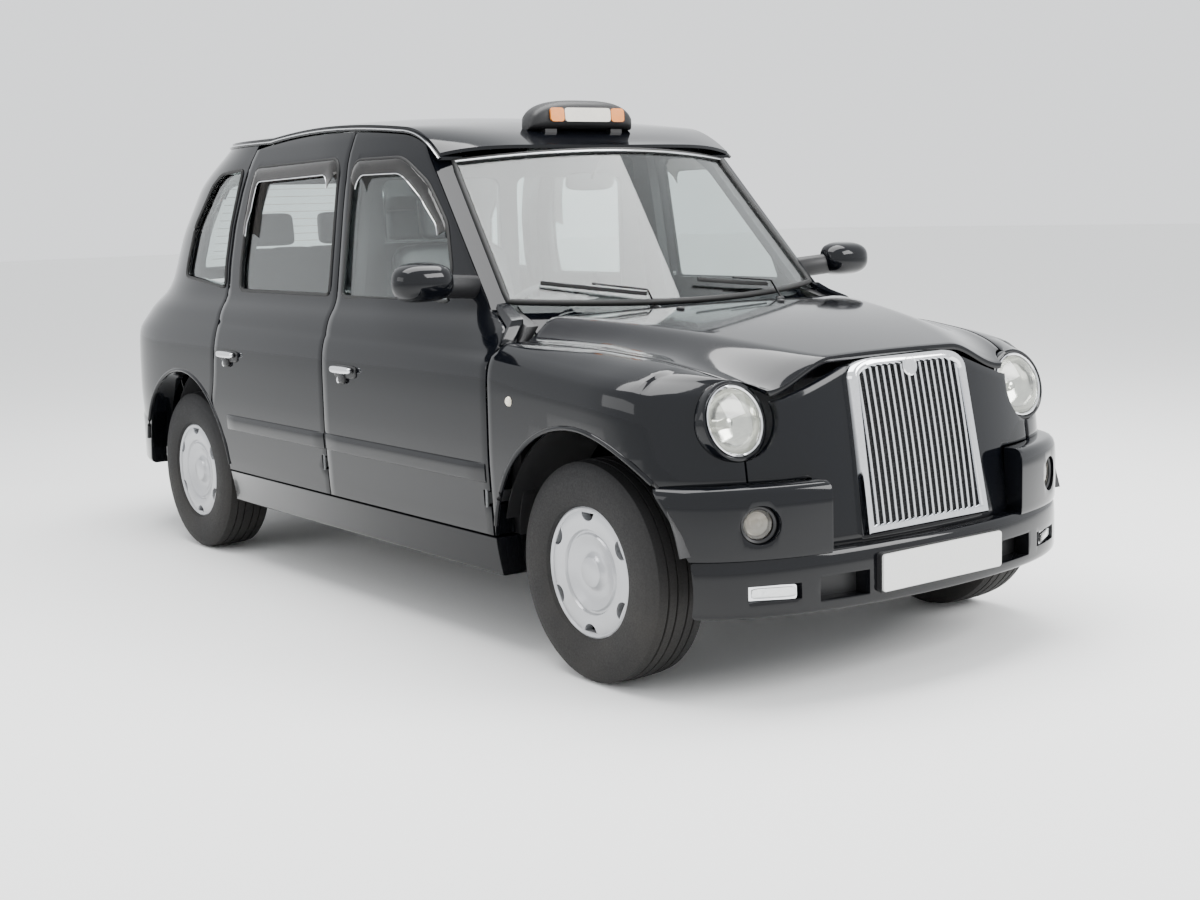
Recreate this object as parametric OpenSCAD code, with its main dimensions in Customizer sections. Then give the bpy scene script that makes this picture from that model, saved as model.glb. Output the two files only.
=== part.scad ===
// Full-size London-style taxi cab, built as separate body panels, doors, glass and running gear.
// X runs forward, Y to the vehicle's left, Z up. The origin is on the ground, midway along and across.

/* [Overall] */
// Distance between the front and rear axles
wheelbase = 2886; // [2400:1:3500]
// Front axle to the front of the bumper
front_overhang = 668; // [640:1:760]
// Rear axle to the back of the bumper
rear_overhang = 1026; // [960:1:1240]
// Width over the doors
body_width = 1780; // [1700:1:2140]
// Height of the roof's highest point
roof_height = 1798; // [1760:1:1900]
// Distance between the centres of two wheels on one axle
track = 1490; // [1420:1:1500]

/* [Body levels] */
// Underside of the sills
sill_z = 265; // [230:1:290]
// Underside of the doors
door_z = 400; // [380:1:440]
// Widest line along the doors
waist_z = 650; // [600:1:700]
// Line where the doors start to turn in
shoulder_z = 950; // [930:1:970]
// Bottom of the door windows' slope
belt_z = 1110; // [1100:1:1120]
// Top of the side windows
window_top_z = 1640; // [1600:1:1655]
// Drip rail along the roof at its highest
rail_z = 1748; // [1720:1:1755]
// Top of the floor in the cabin
floor_z = 345; // [330:1:380]

/* [Doors] */
// Front axle back to the front door's front edge
door_setback = 452; // [450:1:560]
// Length of the front door
front_door = 1110; // [900:1:1200]
// Rear axle forward to the rear door's rear edge
rear_door_set = 379; // [330:1:450]
// Thickness of a door below the window
door_thick = 95; // [80:1:110]
// Thickness of a door's window frame
frame_thick = 46; // [40:1:55]
// Gap between neighbouring panels
shut_gap = 7; // [6:0.5:9]
// Thickness of the door glass
glass_thick = 5; // [4:0.5:8]
// Radius of a door's hinge pin
pin_r = 6; // [5:0.5:8]
// Clearance round a pin or shaft
pin_clear = 0.3; // [0.2:0.05:0.5]

/* [Wheels] */
// Radius of the tyre
tyre_r = 343; // [320:1:360]
// Width of the tyre
tyre_w = 215; // [185:1:235]
// Radius of the rim where the tyre seats
rim_r = 203; // [190:1:215]
// Radius of the wheel arches
arch_r = 443; // [430:1:450]
// Radius of a wheel's hub bore
hub_r = 32; // [28:1:36]

/* [Front and glass] */
// Half width of the grille at its foot
grille_w = 267; // [240:1:290]
// Bottom of the grille
grille_z = 462; // [450:1:480]
// Top of the grille at its middle
grille_top = 977; // [950:1:990]
// Radius of a headlamp
lamp_r = 105; // [90:1:112]
// Height of a headlamp's centre
lamp_z = 821; // [800:1:830]
// Distance of a headlamp's centre from the middle
lamp_y = 619; // [600:1:640]
// Thickness of the body's outer panels
panel_thick = 12; // [8:1:16]
// Thickness of the windscreen and rear window
screen_thick = 6; // [5:0.5:8]

/* [Hidden] */
$fn = 48;
paint = "#15171a";
far = 4000;
// Clearance where one fixed piece seats on another
seat = 0.4;
rear_low = 330;
rear_high = 570;

x_front = (front_overhang + wheelbase + rear_overhang) / 2;
x_rear = -x_front;
x_fa = x_front - front_overhang;
x_ra = x_rear + rear_overhang;
half_w = body_width / 2;
x_a = x_fa - door_setback;
x_b = x_a - front_door;
x_c = x_ra + rear_door_set;
x_ws = x_a + 10;

// ---- The body's outer surface ----

// How far the side stands in from its widest line, by height
side_in = [
  [sill_z, 35], [door_z, 12], [waist_z, 0], [shoulder_z - 60, 2], [shoulder_z, 8],
  [shoulder_z + 50, 24], [belt_z - 50, 42], [belt_z - 20, 62], [belt_z, 76],
  [window_top_z, 150], [rail_z - 40, 172], [rail_z + 10, 190]
];
// The tail's plan at each height: where it starts to curve, its rearmost point, its roundness
tail_from = [
  [sill_z, 0], [shoulder_z, 0], [belt_z, 114], [belt_z + 60, 144], [1370, 164], [1572, 314],
  [1705, 500], [rail_z + 10, 520]
];
tail_back = [
  [sill_z, 60], [550, 32], [670, 26], [800, 30], [shoulder_z, 48], [1040, 90], [belt_z, 150],
  [belt_z + 60, 200], [1370, 280], [1572, 440], [1705, 690], [rail_z + 10, 800]
];
tail_round = [[shoulder_z, 4], [belt_z, 3], [belt_z + 60, 2.8], [1370, 2.5], [1705, 2.3]];
corner_in = 78;
corner_len = 700;

function mix(a, b, t) = a + (b - a) * t;
function clamp(v, lo, hi) = min(max(v, lo), hi);
// Windscreen's side edge: its place along the body and its half width
function screen_x(z) = x_ws - 170 - 0.9 * (z - 1135);
function screen_w(z) = half_w - 207 - 0.157 * (z - 1135);
function width_at(z) = half_w - lookup(z, side_in);
function corner(x, z) =
  corner_in * pow(clamp((x - screen_x(z) + corner_len) / corner_len, 0, 1.1), 2)
  * lookup(z, [[shoulder_z, 0], [belt_z, 1]]);
function side_y(x, z, d = 0) = width_at(z) - corner(x, z) - d;
function tail_x0(z) = x_ra + lookup(z, tail_from);
function tail_xr(z) = x_rear + lookup(z, tail_back);
// A point of the tail's outline at height z, at angle a from the side, d inside the skin
function tail_pt(a, z, d = 0) = [
  tail_x0(z) - (tail_x0(z) - tail_xr(z) - d) * pow(sin(a), 2 / lookup(z, tail_round)),
  -(width_at(z) - d) * cos(a),
  z
];
function tail_angle(y, z, d = 0) = acos(clamp(y / (width_at(z) - d), -1, 1));
function rail_at(x) =
  rail_z - pow(x - x_b + 210, 2) / 9500
  - 70 * pow(clamp((x - x_ws + 830) / 230, 0, 1.3), 2);
function roof_mid(x) = roof_height + lookup(x - x_ws, [
  [-2780, -53], [-2630, -44], [-2380, -27], [-2080, -11], [-1680, 0], [-1380, 0], [-1180, -3],
  [-1030, -14], [-830, -42], [-680, -76], [-580, -106], [-480, -146]
]);

// ---- Building blocks ----

// A closed sheet between an outer and an inner grid of points
module shell(a, b) {
  rows = len(a);
  cols = len(a[0]);
  n = rows * cols;
  function at(s, i, j) = s * n + i * cols + j;
  function quad(p, q, r, s) = [[p, q, r], [p, r, s]];
  polyhedron(
    [for (row = a) each row, for (row = b) each row],
    [
      for (i = [0:rows - 2]) for (j = [0:cols - 2])
        each quad(at(0, i, j), at(0, i + 1, j), at(0, i + 1, j + 1), at(0, i, j + 1)),
      for (i = [0:rows - 2]) for (j = [0:cols - 2])
        each quad(at(1, i, j), at(1, i, j + 1), at(1, i + 1, j + 1), at(1, i + 1, j)),
      for (i = [0:rows - 2])
        each quad(at(0, i, 0), at(1, i, 0), at(1, i + 1, 0), at(0, i + 1, 0)),
      for (i = [0:rows - 2])
        each quad(at(0, i, cols - 1), at(0, i + 1, cols - 1), at(1, i + 1, cols - 1), at(1, i, cols - 1)),
      for (j = [0:cols - 2])
        each quad(at(0, 0, j), at(0, 0, j + 1), at(1, 0, j + 1), at(1, 0, j)),
      for (j = [0:cols - 2])
        each quad(at(0, rows - 1, j), at(1, rows - 1, j), at(1, rows - 1, j + 1), at(0, rows - 1, j + 1))
    ]
  );
}

module box(x, y, z) {
  translate([x[0], y[0], z[0]]) cube([x[1] - x[0], y[1] - y[0], z[1] - z[0]]);
}

// An outline in X and Z, pushed through from y0 to y1
module through(points, y0 = -far, y1 = 0) {
  translate([0, y1, 0]) rotate([90, 0, 0]) linear_extrude(y1 - y0) polygon(points);
}

module rod(p, r, h, axis = [0, 0, 0]) {
  translate(p) rotate(axis) cylinder(r = r, h = h, center = true);
}

module both() {
  children();
  mirror([0, 1, 0]) children();
}

// ---- Doors ----

door_rows = [
  door_z, waist_z - 120, waist_z, waist_z + 130, shoulder_z - 60, shoulder_z, shoulder_z + 50,
  belt_z - 50, belt_z - 20, belt_z, belt_z + 130, 1380, 1510, window_top_z - 35, window_top_z,
  rail_z - 40, rail_z + 4
];
// Edges of the doors at each height
function front_edge(z) = lookup(z, [
  [shoulder_z + 55, x_a], [belt_z - 50, x_a - 40],
  [belt_z, screen_x(belt_z) - 36], [rail_z + 10, screen_x(rail_z + 10) - 36]
]);
function rear_edge(z) = x_c + lookup(z, [
  [620, -85], [760, -30], [shoulder_z, 0], [belt_z - 26, 0], [1242, -5], [1400, 15],
  [1550, 70], [1673, 141], [rail_z + 4, 185]
]);
// A door's whole depth, and the extra chamfer that lets its rear edge swing clear
function depth_at(z) = lookup(z, [[shoulder_z, door_thick - 8], [belt_z, frame_thick]]);
swing_bevel = 15;

function door_grid(front, rear, d, bevel) = [
  for (z = door_rows) [
    for (t = [0:0.25:1])
      let (x = mix((rear ? rear_edge(z) : x_b + shut_gap / 2) + bevel,
                   rear ? x_b - shut_gap / 2 : front_edge(z), t))
      [x, -side_y(x, z, d ? depth_at(z) : 0), z]
  ]
];

function above_rail(gap) = concat(
  [for (x = [x_ra:100:x_ws]) [x, rail_at(x) - gap]],
  [[x_ws, far], [x_ra, far]]
);

front_window = [
  [x_b + 40, belt_z + 25], [x_b + 40, window_top_z - 40], [x_b + 70, window_top_z - 10],
  [screen_x(1625) - 190, window_top_z - 10], [screen_x(1612) - 150, 1610],
  [screen_x(1535) - 92, 1535], [screen_x(1395) - 78, 1395], [screen_x(1250) - 140, 1250],
  [screen_x(1135) - 220, belt_z + 25]
];
rear_window = [
  [x_c + 108, belt_z + 30], [x_c + 100, 1242], [x_c + 118, 1400], [x_c + 150, 1545],
  [x_c + 190, window_top_z - 10], [x_b - 90, window_top_z], [x_b - 60, window_top_z - 30],
  [x_b - 60, belt_z + 30]
];
quarter_window = [
  [x_c - 32, belt_z + 38], [x_c - 455, 1188], [x_c - 448, 1250], [x_c - 395, 1410],
  [x_c - 240, 1572], [x_c - 150, 1616], [x_c + 62, 1628], [x_c + 30, 1540],
  [x_c - 16, 1400], [x_c - 38, 1242]
];

hinge_heights = [520, 860];
hinge_h = 40;
hinge_in = 10;
hinge_back = 25;
function hinge_y() = -(half_w - hinge_in);

module door_hinge_room(x) {
  for (z = hinge_heights) {
    box([x - 14, x + hinge_back + 1], [hinge_y() - 7, 0], [z - hinge_h / 2 - 6, z + hinge_h / 2 + 6]);
    rod([x, hinge_y(), z], pin_r + pin_clear, hinge_h + 52);
  }
}

module hinge_arms(x) {
  for (z = hinge_heights) {
    box([x - 5, x + 5], [hinge_y(), -(half_w - depth_at(z) - 28)], [z - hinge_h / 2, z + hinge_h / 2]);
    rod([x, hinge_y(), z], pin_r, hinge_h + 46);
  }
}

module front_door_shape() {
  color(paint) difference() {
    shell(door_grid(true, false, false, 0), door_grid(true, false, true, swing_bevel));
    through(above_rail(shut_gap + 3));
    through(front_window);
    door_hinge_room(x_a - hinge_back);
  }
}

module rear_door_shape() {
  color(paint) difference() {
    shell(door_grid(true, true, false, 0), door_grid(true, true, true, swing_bevel));
    through(above_rail(shut_gap + 3));
    through(rear_window);
    rod([x_ra, 0, tyre_r], arch_r, 2 * far, [90, 0, 0]);
    door_hinge_room(x_b - shut_gap / 2 - hinge_back);
  }
}

glass_in = 14;
function glass_grid(xa, xb, d) = [
  for (z = [belt_z, belt_z + 150, 1420, 1560, window_top_z + 10])
    [for (t = [0:0.25:1]) let (x = mix(xa, xb, t)) [x, -side_y(x, z, d), z]]
];

module pane(xa, xb, outline) {
  color("#3a4348") intersection() {
    shell(glass_grid(xa, xb, glass_in), glass_grid(xa, xb, glass_in + glass_thick));
    rotate([90, 0, 0]) linear_extrude(far) offset(delta = -seat) polygon(outline);
  }
}

module mirror_shape() {
  foot = [screen_x(1180) - 110, -side_y(screen_x(1180) - 110, 1180), 1180];
  color(paint) difference() {
    union() {
    hull() {
      translate(foot + [0, 12, -6]) rotate([90, 0, 0]) cylinder(r = 34, h = 24, $fn = 24);
      translate(foot + [2, -90, 16]) sphere(r = 34, $fn = 20);
    }
    hull() {
      translate(foot + [2, -96, 18]) sphere(r = 40, $fn = 20);
      translate(foot + [-10, -125, 34]) sphere(r = 62, $fn = 20);
      translate(foot + [-14, -235, 38]) sphere(r = 60, $fn = 20);
      translate(foot + [-14, -238, 20]) sphere(r = 56, $fn = 20);
    }
    }
    shell(glass_grid(foot[0] - 150, foot[0] + 90, -seat), glass_grid(foot[0] - 150, foot[0] + 90, 80));
  }
}

// ---- Side frame, roof and tail ----

frame_rows = [
  sill_z, door_z, waist_z, shoulder_z, shoulder_z + 50, belt_z - 50, belt_z, belt_z + 130, 1400,
  1540, window_top_z, rail_z - 40, rail_z - 4
];
function inner_grid(deep) = [
  for (z = frame_rows) [
    for (t = [0:0.2:1])
      let (x = mix(rear_edge(z) - shut_gap - 18,
                   z <= shoulder_z ? x_a + 50 : z < belt_z ? x_a - 6 : front_edge(z) + 12, t))
      [x, -side_y(x, z, depth_at(z) + 5 + deep), z]
  ]
];
front_opening = [
  [x_b + 38, door_z + 20], [x_a - 70, door_z + 20], [x_a - 70, shoulder_z + 50],
  [front_edge(1150) - 50, 1150], [front_edge(1570) - 50, 1570], [front_edge(1650) - 130, 1650],
  [x_b + 38, window_top_z + 30]
];
rear_opening = [
  [x_b - 82, door_z + 20], [x_b - 82, window_top_z + 30], [x_c + 220, window_top_z + 22],
  [x_c + 110, 1545], [x_c + 50, 1400], [x_c + 30, 1242], [x_c + 30, 700], [x_c + 80, door_z + 20]
];

rail_tail = rail_at(x_ra + 664);
tail_rows = [
  door_z, 550, waist_z, 800, shoulder_z, shoulder_z + 50, belt_z - 50, belt_z, belt_z + 60, 1300,
  1430, 1572, window_top_z, 1690, rail_tail + 5.4
];
tail_half = 560;
function quarter_grid(deep) = [
  for (z = tail_rows)
    let (d = deep ? depth_at(z) + 15 : 0, edge = rear_edge(z) - shut_gap,
         end = tail_angle(tail_half, z, d))
    concat(
      [for (t = [0, 0.5]) let (x = mix(edge, tail_x0(z), t)) [x, -side_y(x, z, d), z]],
      [for (t = [0:0.1:1]) tail_pt(end * (0.02 + 0.98 * t), z, d)]
    )
];
// Columns run from the tail to the door
function flip(grid) = [for (row = grid) [for (i = [len(row) - 1:-1:0]) row[i]]];

rail_end = x_ws - 600;
function rail_grid(d) = [
  for (v = [-4, 4.6]) [
    for (x = [rail_end:-60:x_c + 240]) let (z = rail_at(x)) [x, -side_y(x, z, d), z + v]
  ]
];

function pillar_ring(z) =
  let (xf = front_edge(z) + shut_gap, xs = screen_x(z), w = screen_w(z), y = -side_y(xf, z, depth_at(z) + 12))
  [
    [xf, y, z], [xf, -side_y(xf, z), z], [xs - 8, -(w + 16), z], [xs - 2, -(w + 2.6), z],
    [xs - 40, -(w - 12), z], [xs - 40, y, z]
  ];
pillar_rows = [belt_z + 1, 1250, 1400, 1540, 1640, 1678];

// A solid through rings of points that all have the same number of corners
module loft(rings) {
  n = len(rings[0]);
  m = len(rings);
  polyhedron(
    [for (r = rings) each r],
    concat(
      [[for (i = [0:n - 1]) i]],
      [[for (i = [n - 1:-1:0]) (m - 1) * n + i]],
      [for (k = [0:m - 2]) for (i = [0:n - 1])
        each [[k * n + i, (k + 1) * n + i, (k + 1) * n + (i + 1) % n],
              [k * n + i, (k + 1) * n + (i + 1) % n, k * n + (i + 1) % n]]]
    )
  );
}

wheel_in = track / 2 - tyre_w / 2 - 22;
module arch_room(x) {
  rod([x, -(wheel_in + far / 2), tyre_r], arch_r, far, [90, 0, 0]);
}

module side_frame_shape() {
  color(paint) difference() {
    union() {
      difference() {
        shell(inner_grid(0), inner_grid(47));
        through(front_opening);
        through(rear_opening);
        through(above_rail(0));
      }
      difference() {
        shell(flip(quarter_grid(false)), flip(quarter_grid(true)));
        intersection() {
          through(quarter_window);
          box([x_rear, far], [-far, -tail_half + 120], [0, far]);
        }
      }
      shell(flip(rail_grid(-5)), flip(rail_grid(95)));
      loft(pillar_rows_rings());
      sill();
      front_post();
      hinge_arms(x_a - hinge_back);
      hinge_arms(x_b - shut_gap / 2 - hinge_back);
    }
    arch_room(x_fa);
    arch_room(x_ra);
    tail_bumper(seat);
    box([x_rear, tail_lamp[0] + 28 + seat], [-660 - seat, -580 + seat], [700 - seat, 960 + seat]);
  }
}

function pillar_rows_rings() = [for (z = pillar_rows) pillar_ring(z)];

module sill() {
  y = [for (z = [sill_z, (sill_z + door_z) / 2, door_z - shut_gap]) [-(width_at(z)), z]];
  rotate([90, 0, 90]) translate([0, 0, x_ra]) linear_extrude(x_a + 40 - x_ra)
    polygon(concat(y, [[-(half_w - 190), door_z - shut_gap], [-(half_w - 190), sill_z]]));
}

cabin_half = half_w - 190 - seat;
post_out = half_w - door_thick - 14;
module front_post() {
  box([x_a - 75, x_a + 50], [-post_out, -(half_w - 190)], [sill_z, shoulder_z]);
  box([x_a + 12, x_a + 50], [-(width_at(760) - panel_thick - 2 * seat), -post_out + 1], [700, 760]);
  pillar_foot();
}

// Corner between the door, the wing and the windscreen pillar
function foot_ring(x, low, high, d = 0) = [
  [x, -side_y(x, high, d), high], [x, -side_y(x, high, 44), high + 3],
  [x, -side_y(x, high, 44), low], [x, -side_y(x, low, d + 1), low]
];
module pillar_foot() {
  loft([
    foot_ring(x_a + shut_gap - seat, shoulder_z + 58, shoulder_z + 66),
    foot_ring(x_a - 33, belt_z - 46, belt_z - 28),
    foot_ring(front_edge(belt_z) + shut_gap + 12, belt_z + 6, belt_z + 20, 4)
  ]);
}

roof_end = tail_xr(rail_z - 20) + 4;
function roof_rail(x) = x < x_ra + 664 ? rail_tail : rail_at(x);
function roof_half(x) =
  let (z = roof_rail(x), t = clamp((tail_x0(z) - x) / (tail_x0(z) - roof_end + 6), 0, 1))
  (width_at(z) - corner(x, z) - 3) * sqrt(max(0.002, 1 - pow(t, lookup(z, tail_round))));
roof_stations = concat(
  [for (i = [0:9]) x_ws - 596 - i * 45],
  [for (x = [x_ws - 1100:-150:x_ra + 700]) x],
  [for (t = [0.05, 0.3, 0.5, 0.68, 0.82, 0.92, 0.98, 1]) mix(x_ra + 664, roof_end, t)]
);
roof_across = [1, 0.96, 0.88, 0.75, 0.55, 0.28, 0, -0.28, -0.55, -0.75, -0.88, -0.96, -1];
function roof_pt(x, r, drop) =
  let (lead = 116 * (1 - r * r) * clamp((x - x_ws + 1010) / 410, 0, 1),
       z = roof_rail(x) + 18,
       mid = roof_mid(x + lead))
  [x + lead, roof_half(x) * r, z + (mid - z) * (1 - pow(abs(r), 2.6)) - drop];

module roof_sheet(stations, top, under) {
  shell(
    [for (i = [len(stations) - 1:-1:0]) [for (r = roof_across) roof_pt(stations[i], r, -top)]],
    [for (i = [len(stations) - 1:-1:0]) [for (r = roof_across) roof_pt(stations[i], r, under)]]
  );
}
module roof() {
  color(paint) roof_sheet(roof_stations, 0, panel_thick);
}

// A point of the tail at height z and offset y from the middle
function tail_at(y, z, d = 0) =
  let (p = tail_pt(90 - asin(clamp(y / (width_at(z) - d), -1, 1)), z, d)) [p[0], y, z];
tail_wall = 38;
tail_lamp = tail_at(620, 900);
lid_half = 520;
lid_low = 590;
lid_top = belt_z + 14;
lid_gap = 20;
lid_hinge_y = 90;
lid_hinge = [tail_at(lid_hinge_y, lid_top - 14)[0] + 14, lid_top - 14];
function tail_grid(half, rows, d) = [
  for (z = rows) [for (t = [-1, -0.85, -0.66, -0.34, 0, 0.34, 0.66, 0.85, 1])
    let (p = tail_at(abs(t) * half, z, d)) [p[0], t * half, z]]
];
rear_screen = [
  [-470, 1196], [-440, 1540], [-380, 1590], [380, 1590], [440, 1540], [470, 1196]
];
// An outline in Y and Z, pushed through the back of the body
module through_tail(outline) {
  translate([x_rear - 10, 0, 0]) rotate([90, 0, 90]) linear_extrude(1000)
    polygon(outline);
}

rear_rows = concat([rear_high + seat], [for (i = [2:len(tail_rows) - 1]) tail_rows[i]]);
module rear_panel() {
  color(paint) {
    lid_lugs();
    difference() {
    shell(
      flip(tail_grid(tail_half - seat, rear_rows, 0)),
      flip(tail_grid(tail_half - seat, rear_rows, tail_wall))
    );
    through_tail([
      [-lid_half - shut_gap, lid_low - shut_gap], [-lid_half - shut_gap, lid_top + lid_gap],
      [lid_half + shut_gap, lid_top + lid_gap], [lid_half + shut_gap, lid_low - shut_gap]
    ]);
    through_tail(rear_screen);
    }
  }
}

lid_rows = [lid_low, 700, 800, shoulder_z, shoulder_z + 50, belt_z - 50, belt_z - 20, belt_z, lid_top];
module boot_lid() {
  color(paint) difference() {
    shell(flip(tail_grid(lid_half, lid_rows, 0)), flip(tail_grid(lid_half, lid_rows, tail_wall)));
    for (y = [-lid_hinge_y, lid_hinge_y]) {
      rod([lid_hinge[0], y, lid_hinge[1]], pin_r + pin_clear, 80, [90, 0, 0]);
      box([x_rear, lid_hinge[0] + 60], [y - 14, y + 14], [lid_hinge[1] - 12, far]);
    }
  }
}

module lid_lugs() {
  for (y = [-lid_hinge_y, lid_hinge_y]) {
    box([lid_hinge[0] - 7, lid_hinge[0] + 22], [y - 8, y + 8], [lid_hinge[1] - 7, lid_top + lid_gap + 8]);
    rod([lid_hinge[0], y, lid_hinge[1]], pin_r, 74, [90, 0, 0]);
  }
}

module rear_windows() {
  color("#3a4348") {
    intersection() {
      shell(
        flip(tail_grid(tail_half, [1180, 1300, 1430, 1520, 1600], 12)),
        flip(tail_grid(tail_half, [1180, 1300, 1430, 1520, 1600], 12 + screen_thick))
      );
      translate([x_rear, 0, 0]) rotate([90, 0, 90]) linear_extrude(900)
        offset(delta = -seat) polygon(rear_screen);
    }
    both() intersection() {
      shell(flip(quarter_glass(12)), flip(quarter_glass(12 + glass_thick)));
      translate([0, -tail_half + 110, 0]) rotate([90, 0, 0]) linear_extrude(far)
        offset(delta = -seat) polygon(quarter_window);
    }
  }
}
function quarter_glass(d) = [
  for (z = [belt_z + 30, 1242, 1340, 1430, 1520, window_top_z])
    concat(
      [for (t = [0, 0.5]) let (x = mix(x_c + 150, tail_x0(z), t)) [x, -side_y(x, z, d), z]],
      [for (t = [0.02:0.14:1]) tail_pt(52 * t, z, d)]
    )
];

screen_bow = 150;
function screen_pt(r, v, d) =
  let (z = mix(1135 - 25 * (1 - r * r), 1606 + 32 * (1 - r * r), v))
  [screen_x(z) + screen_bow * (1 - r * r) - d * 1.35, screen_w(z) * r, z];
module windscreen() {
  color("#4a565c") shell(
    [for (v = [0:0.2:1]) [for (r = [-1:0.2:1]) screen_pt(r, v, 0)]],
    [for (v = [0:0.2:1]) [for (r = [-1:0.2:1]) screen_pt(r, v, screen_thick)]]
  );
}

// ---- Nose ----

nose_round = 3.7;
// Foremost point of the nose behind the bumper, by height
function nose_tip(z) = x_fa + lookup(z, [
  [sill_z, 618], [grille_z, 606], [700, 566], [lamp_z, 543], [930, 520], [1010, 505]
]);
function nose_pt(a, z, d = 0) = [
  x_fa + (nose_tip(z) - x_fa - d) * pow(sin(a), 2 / nose_round),
  -(width_at(z) - d) * cos(a),
  z
];
function nose_x(y, z, d = 0) = nose_pt(acos(clamp(y / (width_at(z) - d), -1, 1)), z, d)[0];

// Bonnet's side edge: half width and height by place along the body
function lid_y(x) = lookup(x - x_fa, [
  [-470, 782], [-222, 748], [-58, 720], [100, 690], [220, 662], [301, 636], [380, 598],
  [430, 568], [463, 515]
]);
function lid_z(x) = lookup(x - x_fa, [
  [-470, 1016], [-222, 1014], [-58, 1008], [178, 984], [301, 957], [395, 925], [463, 893]
]);
function crest_z(x) = lookup(x - x_fa, [[-510, 1000], [-163, 963], [231, 928], [420, 920], [600, 905]]);

wing_edge = [-440, -330, -220, -110, 0, 90, 180, 250];
wing_end = acos(lamp_y / width_at(850));
wing_turn = [20, 28, 35, 41, wing_end];
function wing_col(low, k, deep) =
  let (
    side = k < len(wing_edge),
    a = side ? 0 : wing_turn[k - len(wing_edge)],
    x = side ? x_fa + wing_edge[k] : 0,
    tip = side ? x : nose_pt(a, 850)[0],
    cz = crest_z(tip),
    d = deep ? panel_thick : 0,
    sx = side ? max(x, x_a + shut_gap) : mix(x_fa + 250, x_fa + 395, (k - len(wing_edge) + 1) / len(wing_turn))
  )
  concat(
    [for (z = [low, mix(low, cz - 130, 0.4), mix(low, cz - 130, 0.75), cz - 130, cz - 80, cz - 42, cz - 16])
      let (tuck = 62 * (1 - sqrt(1 - pow(clamp((z - cz + 100) / 116, 0, 0.92), 2))),
           zz = min(z, shoulder_z - 60),
           p = side
             ? [max(x, x_a + shut_gap), -(width_at(zz) - d - tuck) * (x > x_fa
                ? sqrt(1 - pow((x - x_fa) / (nose_tip(z) - x_fa), nose_round)) : 1), z]
             : nose_pt(a, zz, d + tuck))
      [p[0] - (side ? 0 : (zz < z ? 0.16 * (z - zz) : 0)), p[1], z]],
    [for (t = [0.35, 0.7, 1])
      let (tuck = 46 + d,
           p = side
             ? [sx, -(half_w - tuck) * (x > x_fa
                ? sqrt(1 - pow((x - x_fa) / (nose_tip(cz) - x_fa), nose_round)) : 1)]
             : nose_pt(a, shoulder_z - 60, tuck + 6),
           q = [sx, -(lid_y(sx) + shut_gap / 2)])
      [mix(p[0], q[0], t), mix(p[1], q[1], t), mix(cz, lid_z(sx), t) - d + 10 * sin(180 * t)]]
  );
function wing_grid(deep) =
  let (
    n = len(wing_edge) + len(wing_turn),
    cols = [for (k = [0:n - 1]) wing_col(k < 7 ? door_z : bumper_top + seat, k, deep)]
  )
  [for (i = [0:len(cols[0]) - 1]) [for (k = [0:n - 1]) cols[k][i]]];

bumper_top = 644;
bumper_mid = 442;
bumper_in = 415;

// Headlamp axis leans back
lamp_lean = 15;
lamp_x = x_fa + 433;
module at_lamp() {
  translate([lamp_x, -lamp_y, lamp_z]) rotate([0, 90 - lamp_lean, 0]) children();
}

module lamp_hole(grow = 15) {
  at_lamp() linear_extrude(400, center = true)
    polygon([for (a = [0:10:350]) (lamp_r + grow) * [cos(a), sin(a)]]);
}

module front_wings() {
  color(paint) both() difference() {
    shell(wing_grid(false), wing_grid(true));
    rod([x_fa, -far / 2, tyre_r], arch_r, far - 200, [90, 0, 0]);
    lamp_hole();
  }
}

// Plan outline of a band round the nose or the tail, between insets d0 and d1
function band(tip, back, w, n, d0, d1) = concat(
  [for (a = [-90:6:90]) [back + (tip - back - d0) * pow(cos(a), 2 / n), (w - d0) * sin(a)]],
  [for (a = [90:-6:-90]) [back + (tip - back - d1) * pow(cos(a), 2 / n), (w - d1) * sin(a)]]
);
bumper_thick = 70;
function bumper_inner(y) = x_fa + (x_front - 8 - x_fa - bumper_thick)
  * pow(1 - pow(y / (half_w - 14 - bumper_thick), 2), 1 / 4.3);
plate_w = 520;
plate_h = 111;
plate_z = 358;

// The rear bumper's band, grown by a clearance
module tail_bumper(gap) {
  translate([0, 0, rear_low - gap]) linear_extrude(rear_high - rear_low + 2 * gap)
    polygon([for (p = band(-x_rear + gap, -x_ra, half_w - 8 + gap, 4, 0, bumper_thick + 2 * gap)) [-p[0], p[1]]]);
}

module bumpers() {
  color(paint) {
    difference() {
      union() {
        translate([0, 0, sill_z]) linear_extrude(bumper_mid - sill_z)
          polygon(band(x_front - 8, x_fa, half_w - 14, 4.3, 0, bumper_thick));
        difference() {
          translate([0, 0, sill_z + 1]) linear_extrude(bumper_top - sill_z - 1)
            polygon(band(x_front - 10, x_fa, half_w - 10, 4.3, 0, bumper_thick));
          box([0, far], [-bumper_in, bumper_in], [0, far]);
        }
        box([x_front - 40, x_front], [-plate_w / 2, plate_w / 2], [plate_z - plate_h / 2, plate_z + plate_h / 2]);
      }
      rod([x_fa, 0, tyre_r], arch_r, 2 * far, [90, 0, 0]);
      for (y = [-1, 1]) {
        rod([x_fa + 560, y * fog_y, fog_z], fog_r + 0.4, 300, [0, 90, 0]);
        box([x_fa + 400, far], [y * low_y - low_w / 2 - 0.4, y * low_y + low_w / 2 + 0.4],
            [low_z - low_h / 2 - 0.4, low_z + low_h / 2 + 0.4]);
        box([x_fa + 400, far], [y * 375 - 85, y * 375 + 85], [300, 372]);
      }
    }
    difference() {
      tail_bumper(0);
      rod([x_ra, 0, tyre_r], arch_r, 2 * far, [90, 0, 0]);
    }
  }
}
fog_y = 632;
fog_z = 536;
fog_r = 44;
low_y = 594;
low_z = 338;
low_w = 150;
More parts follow.
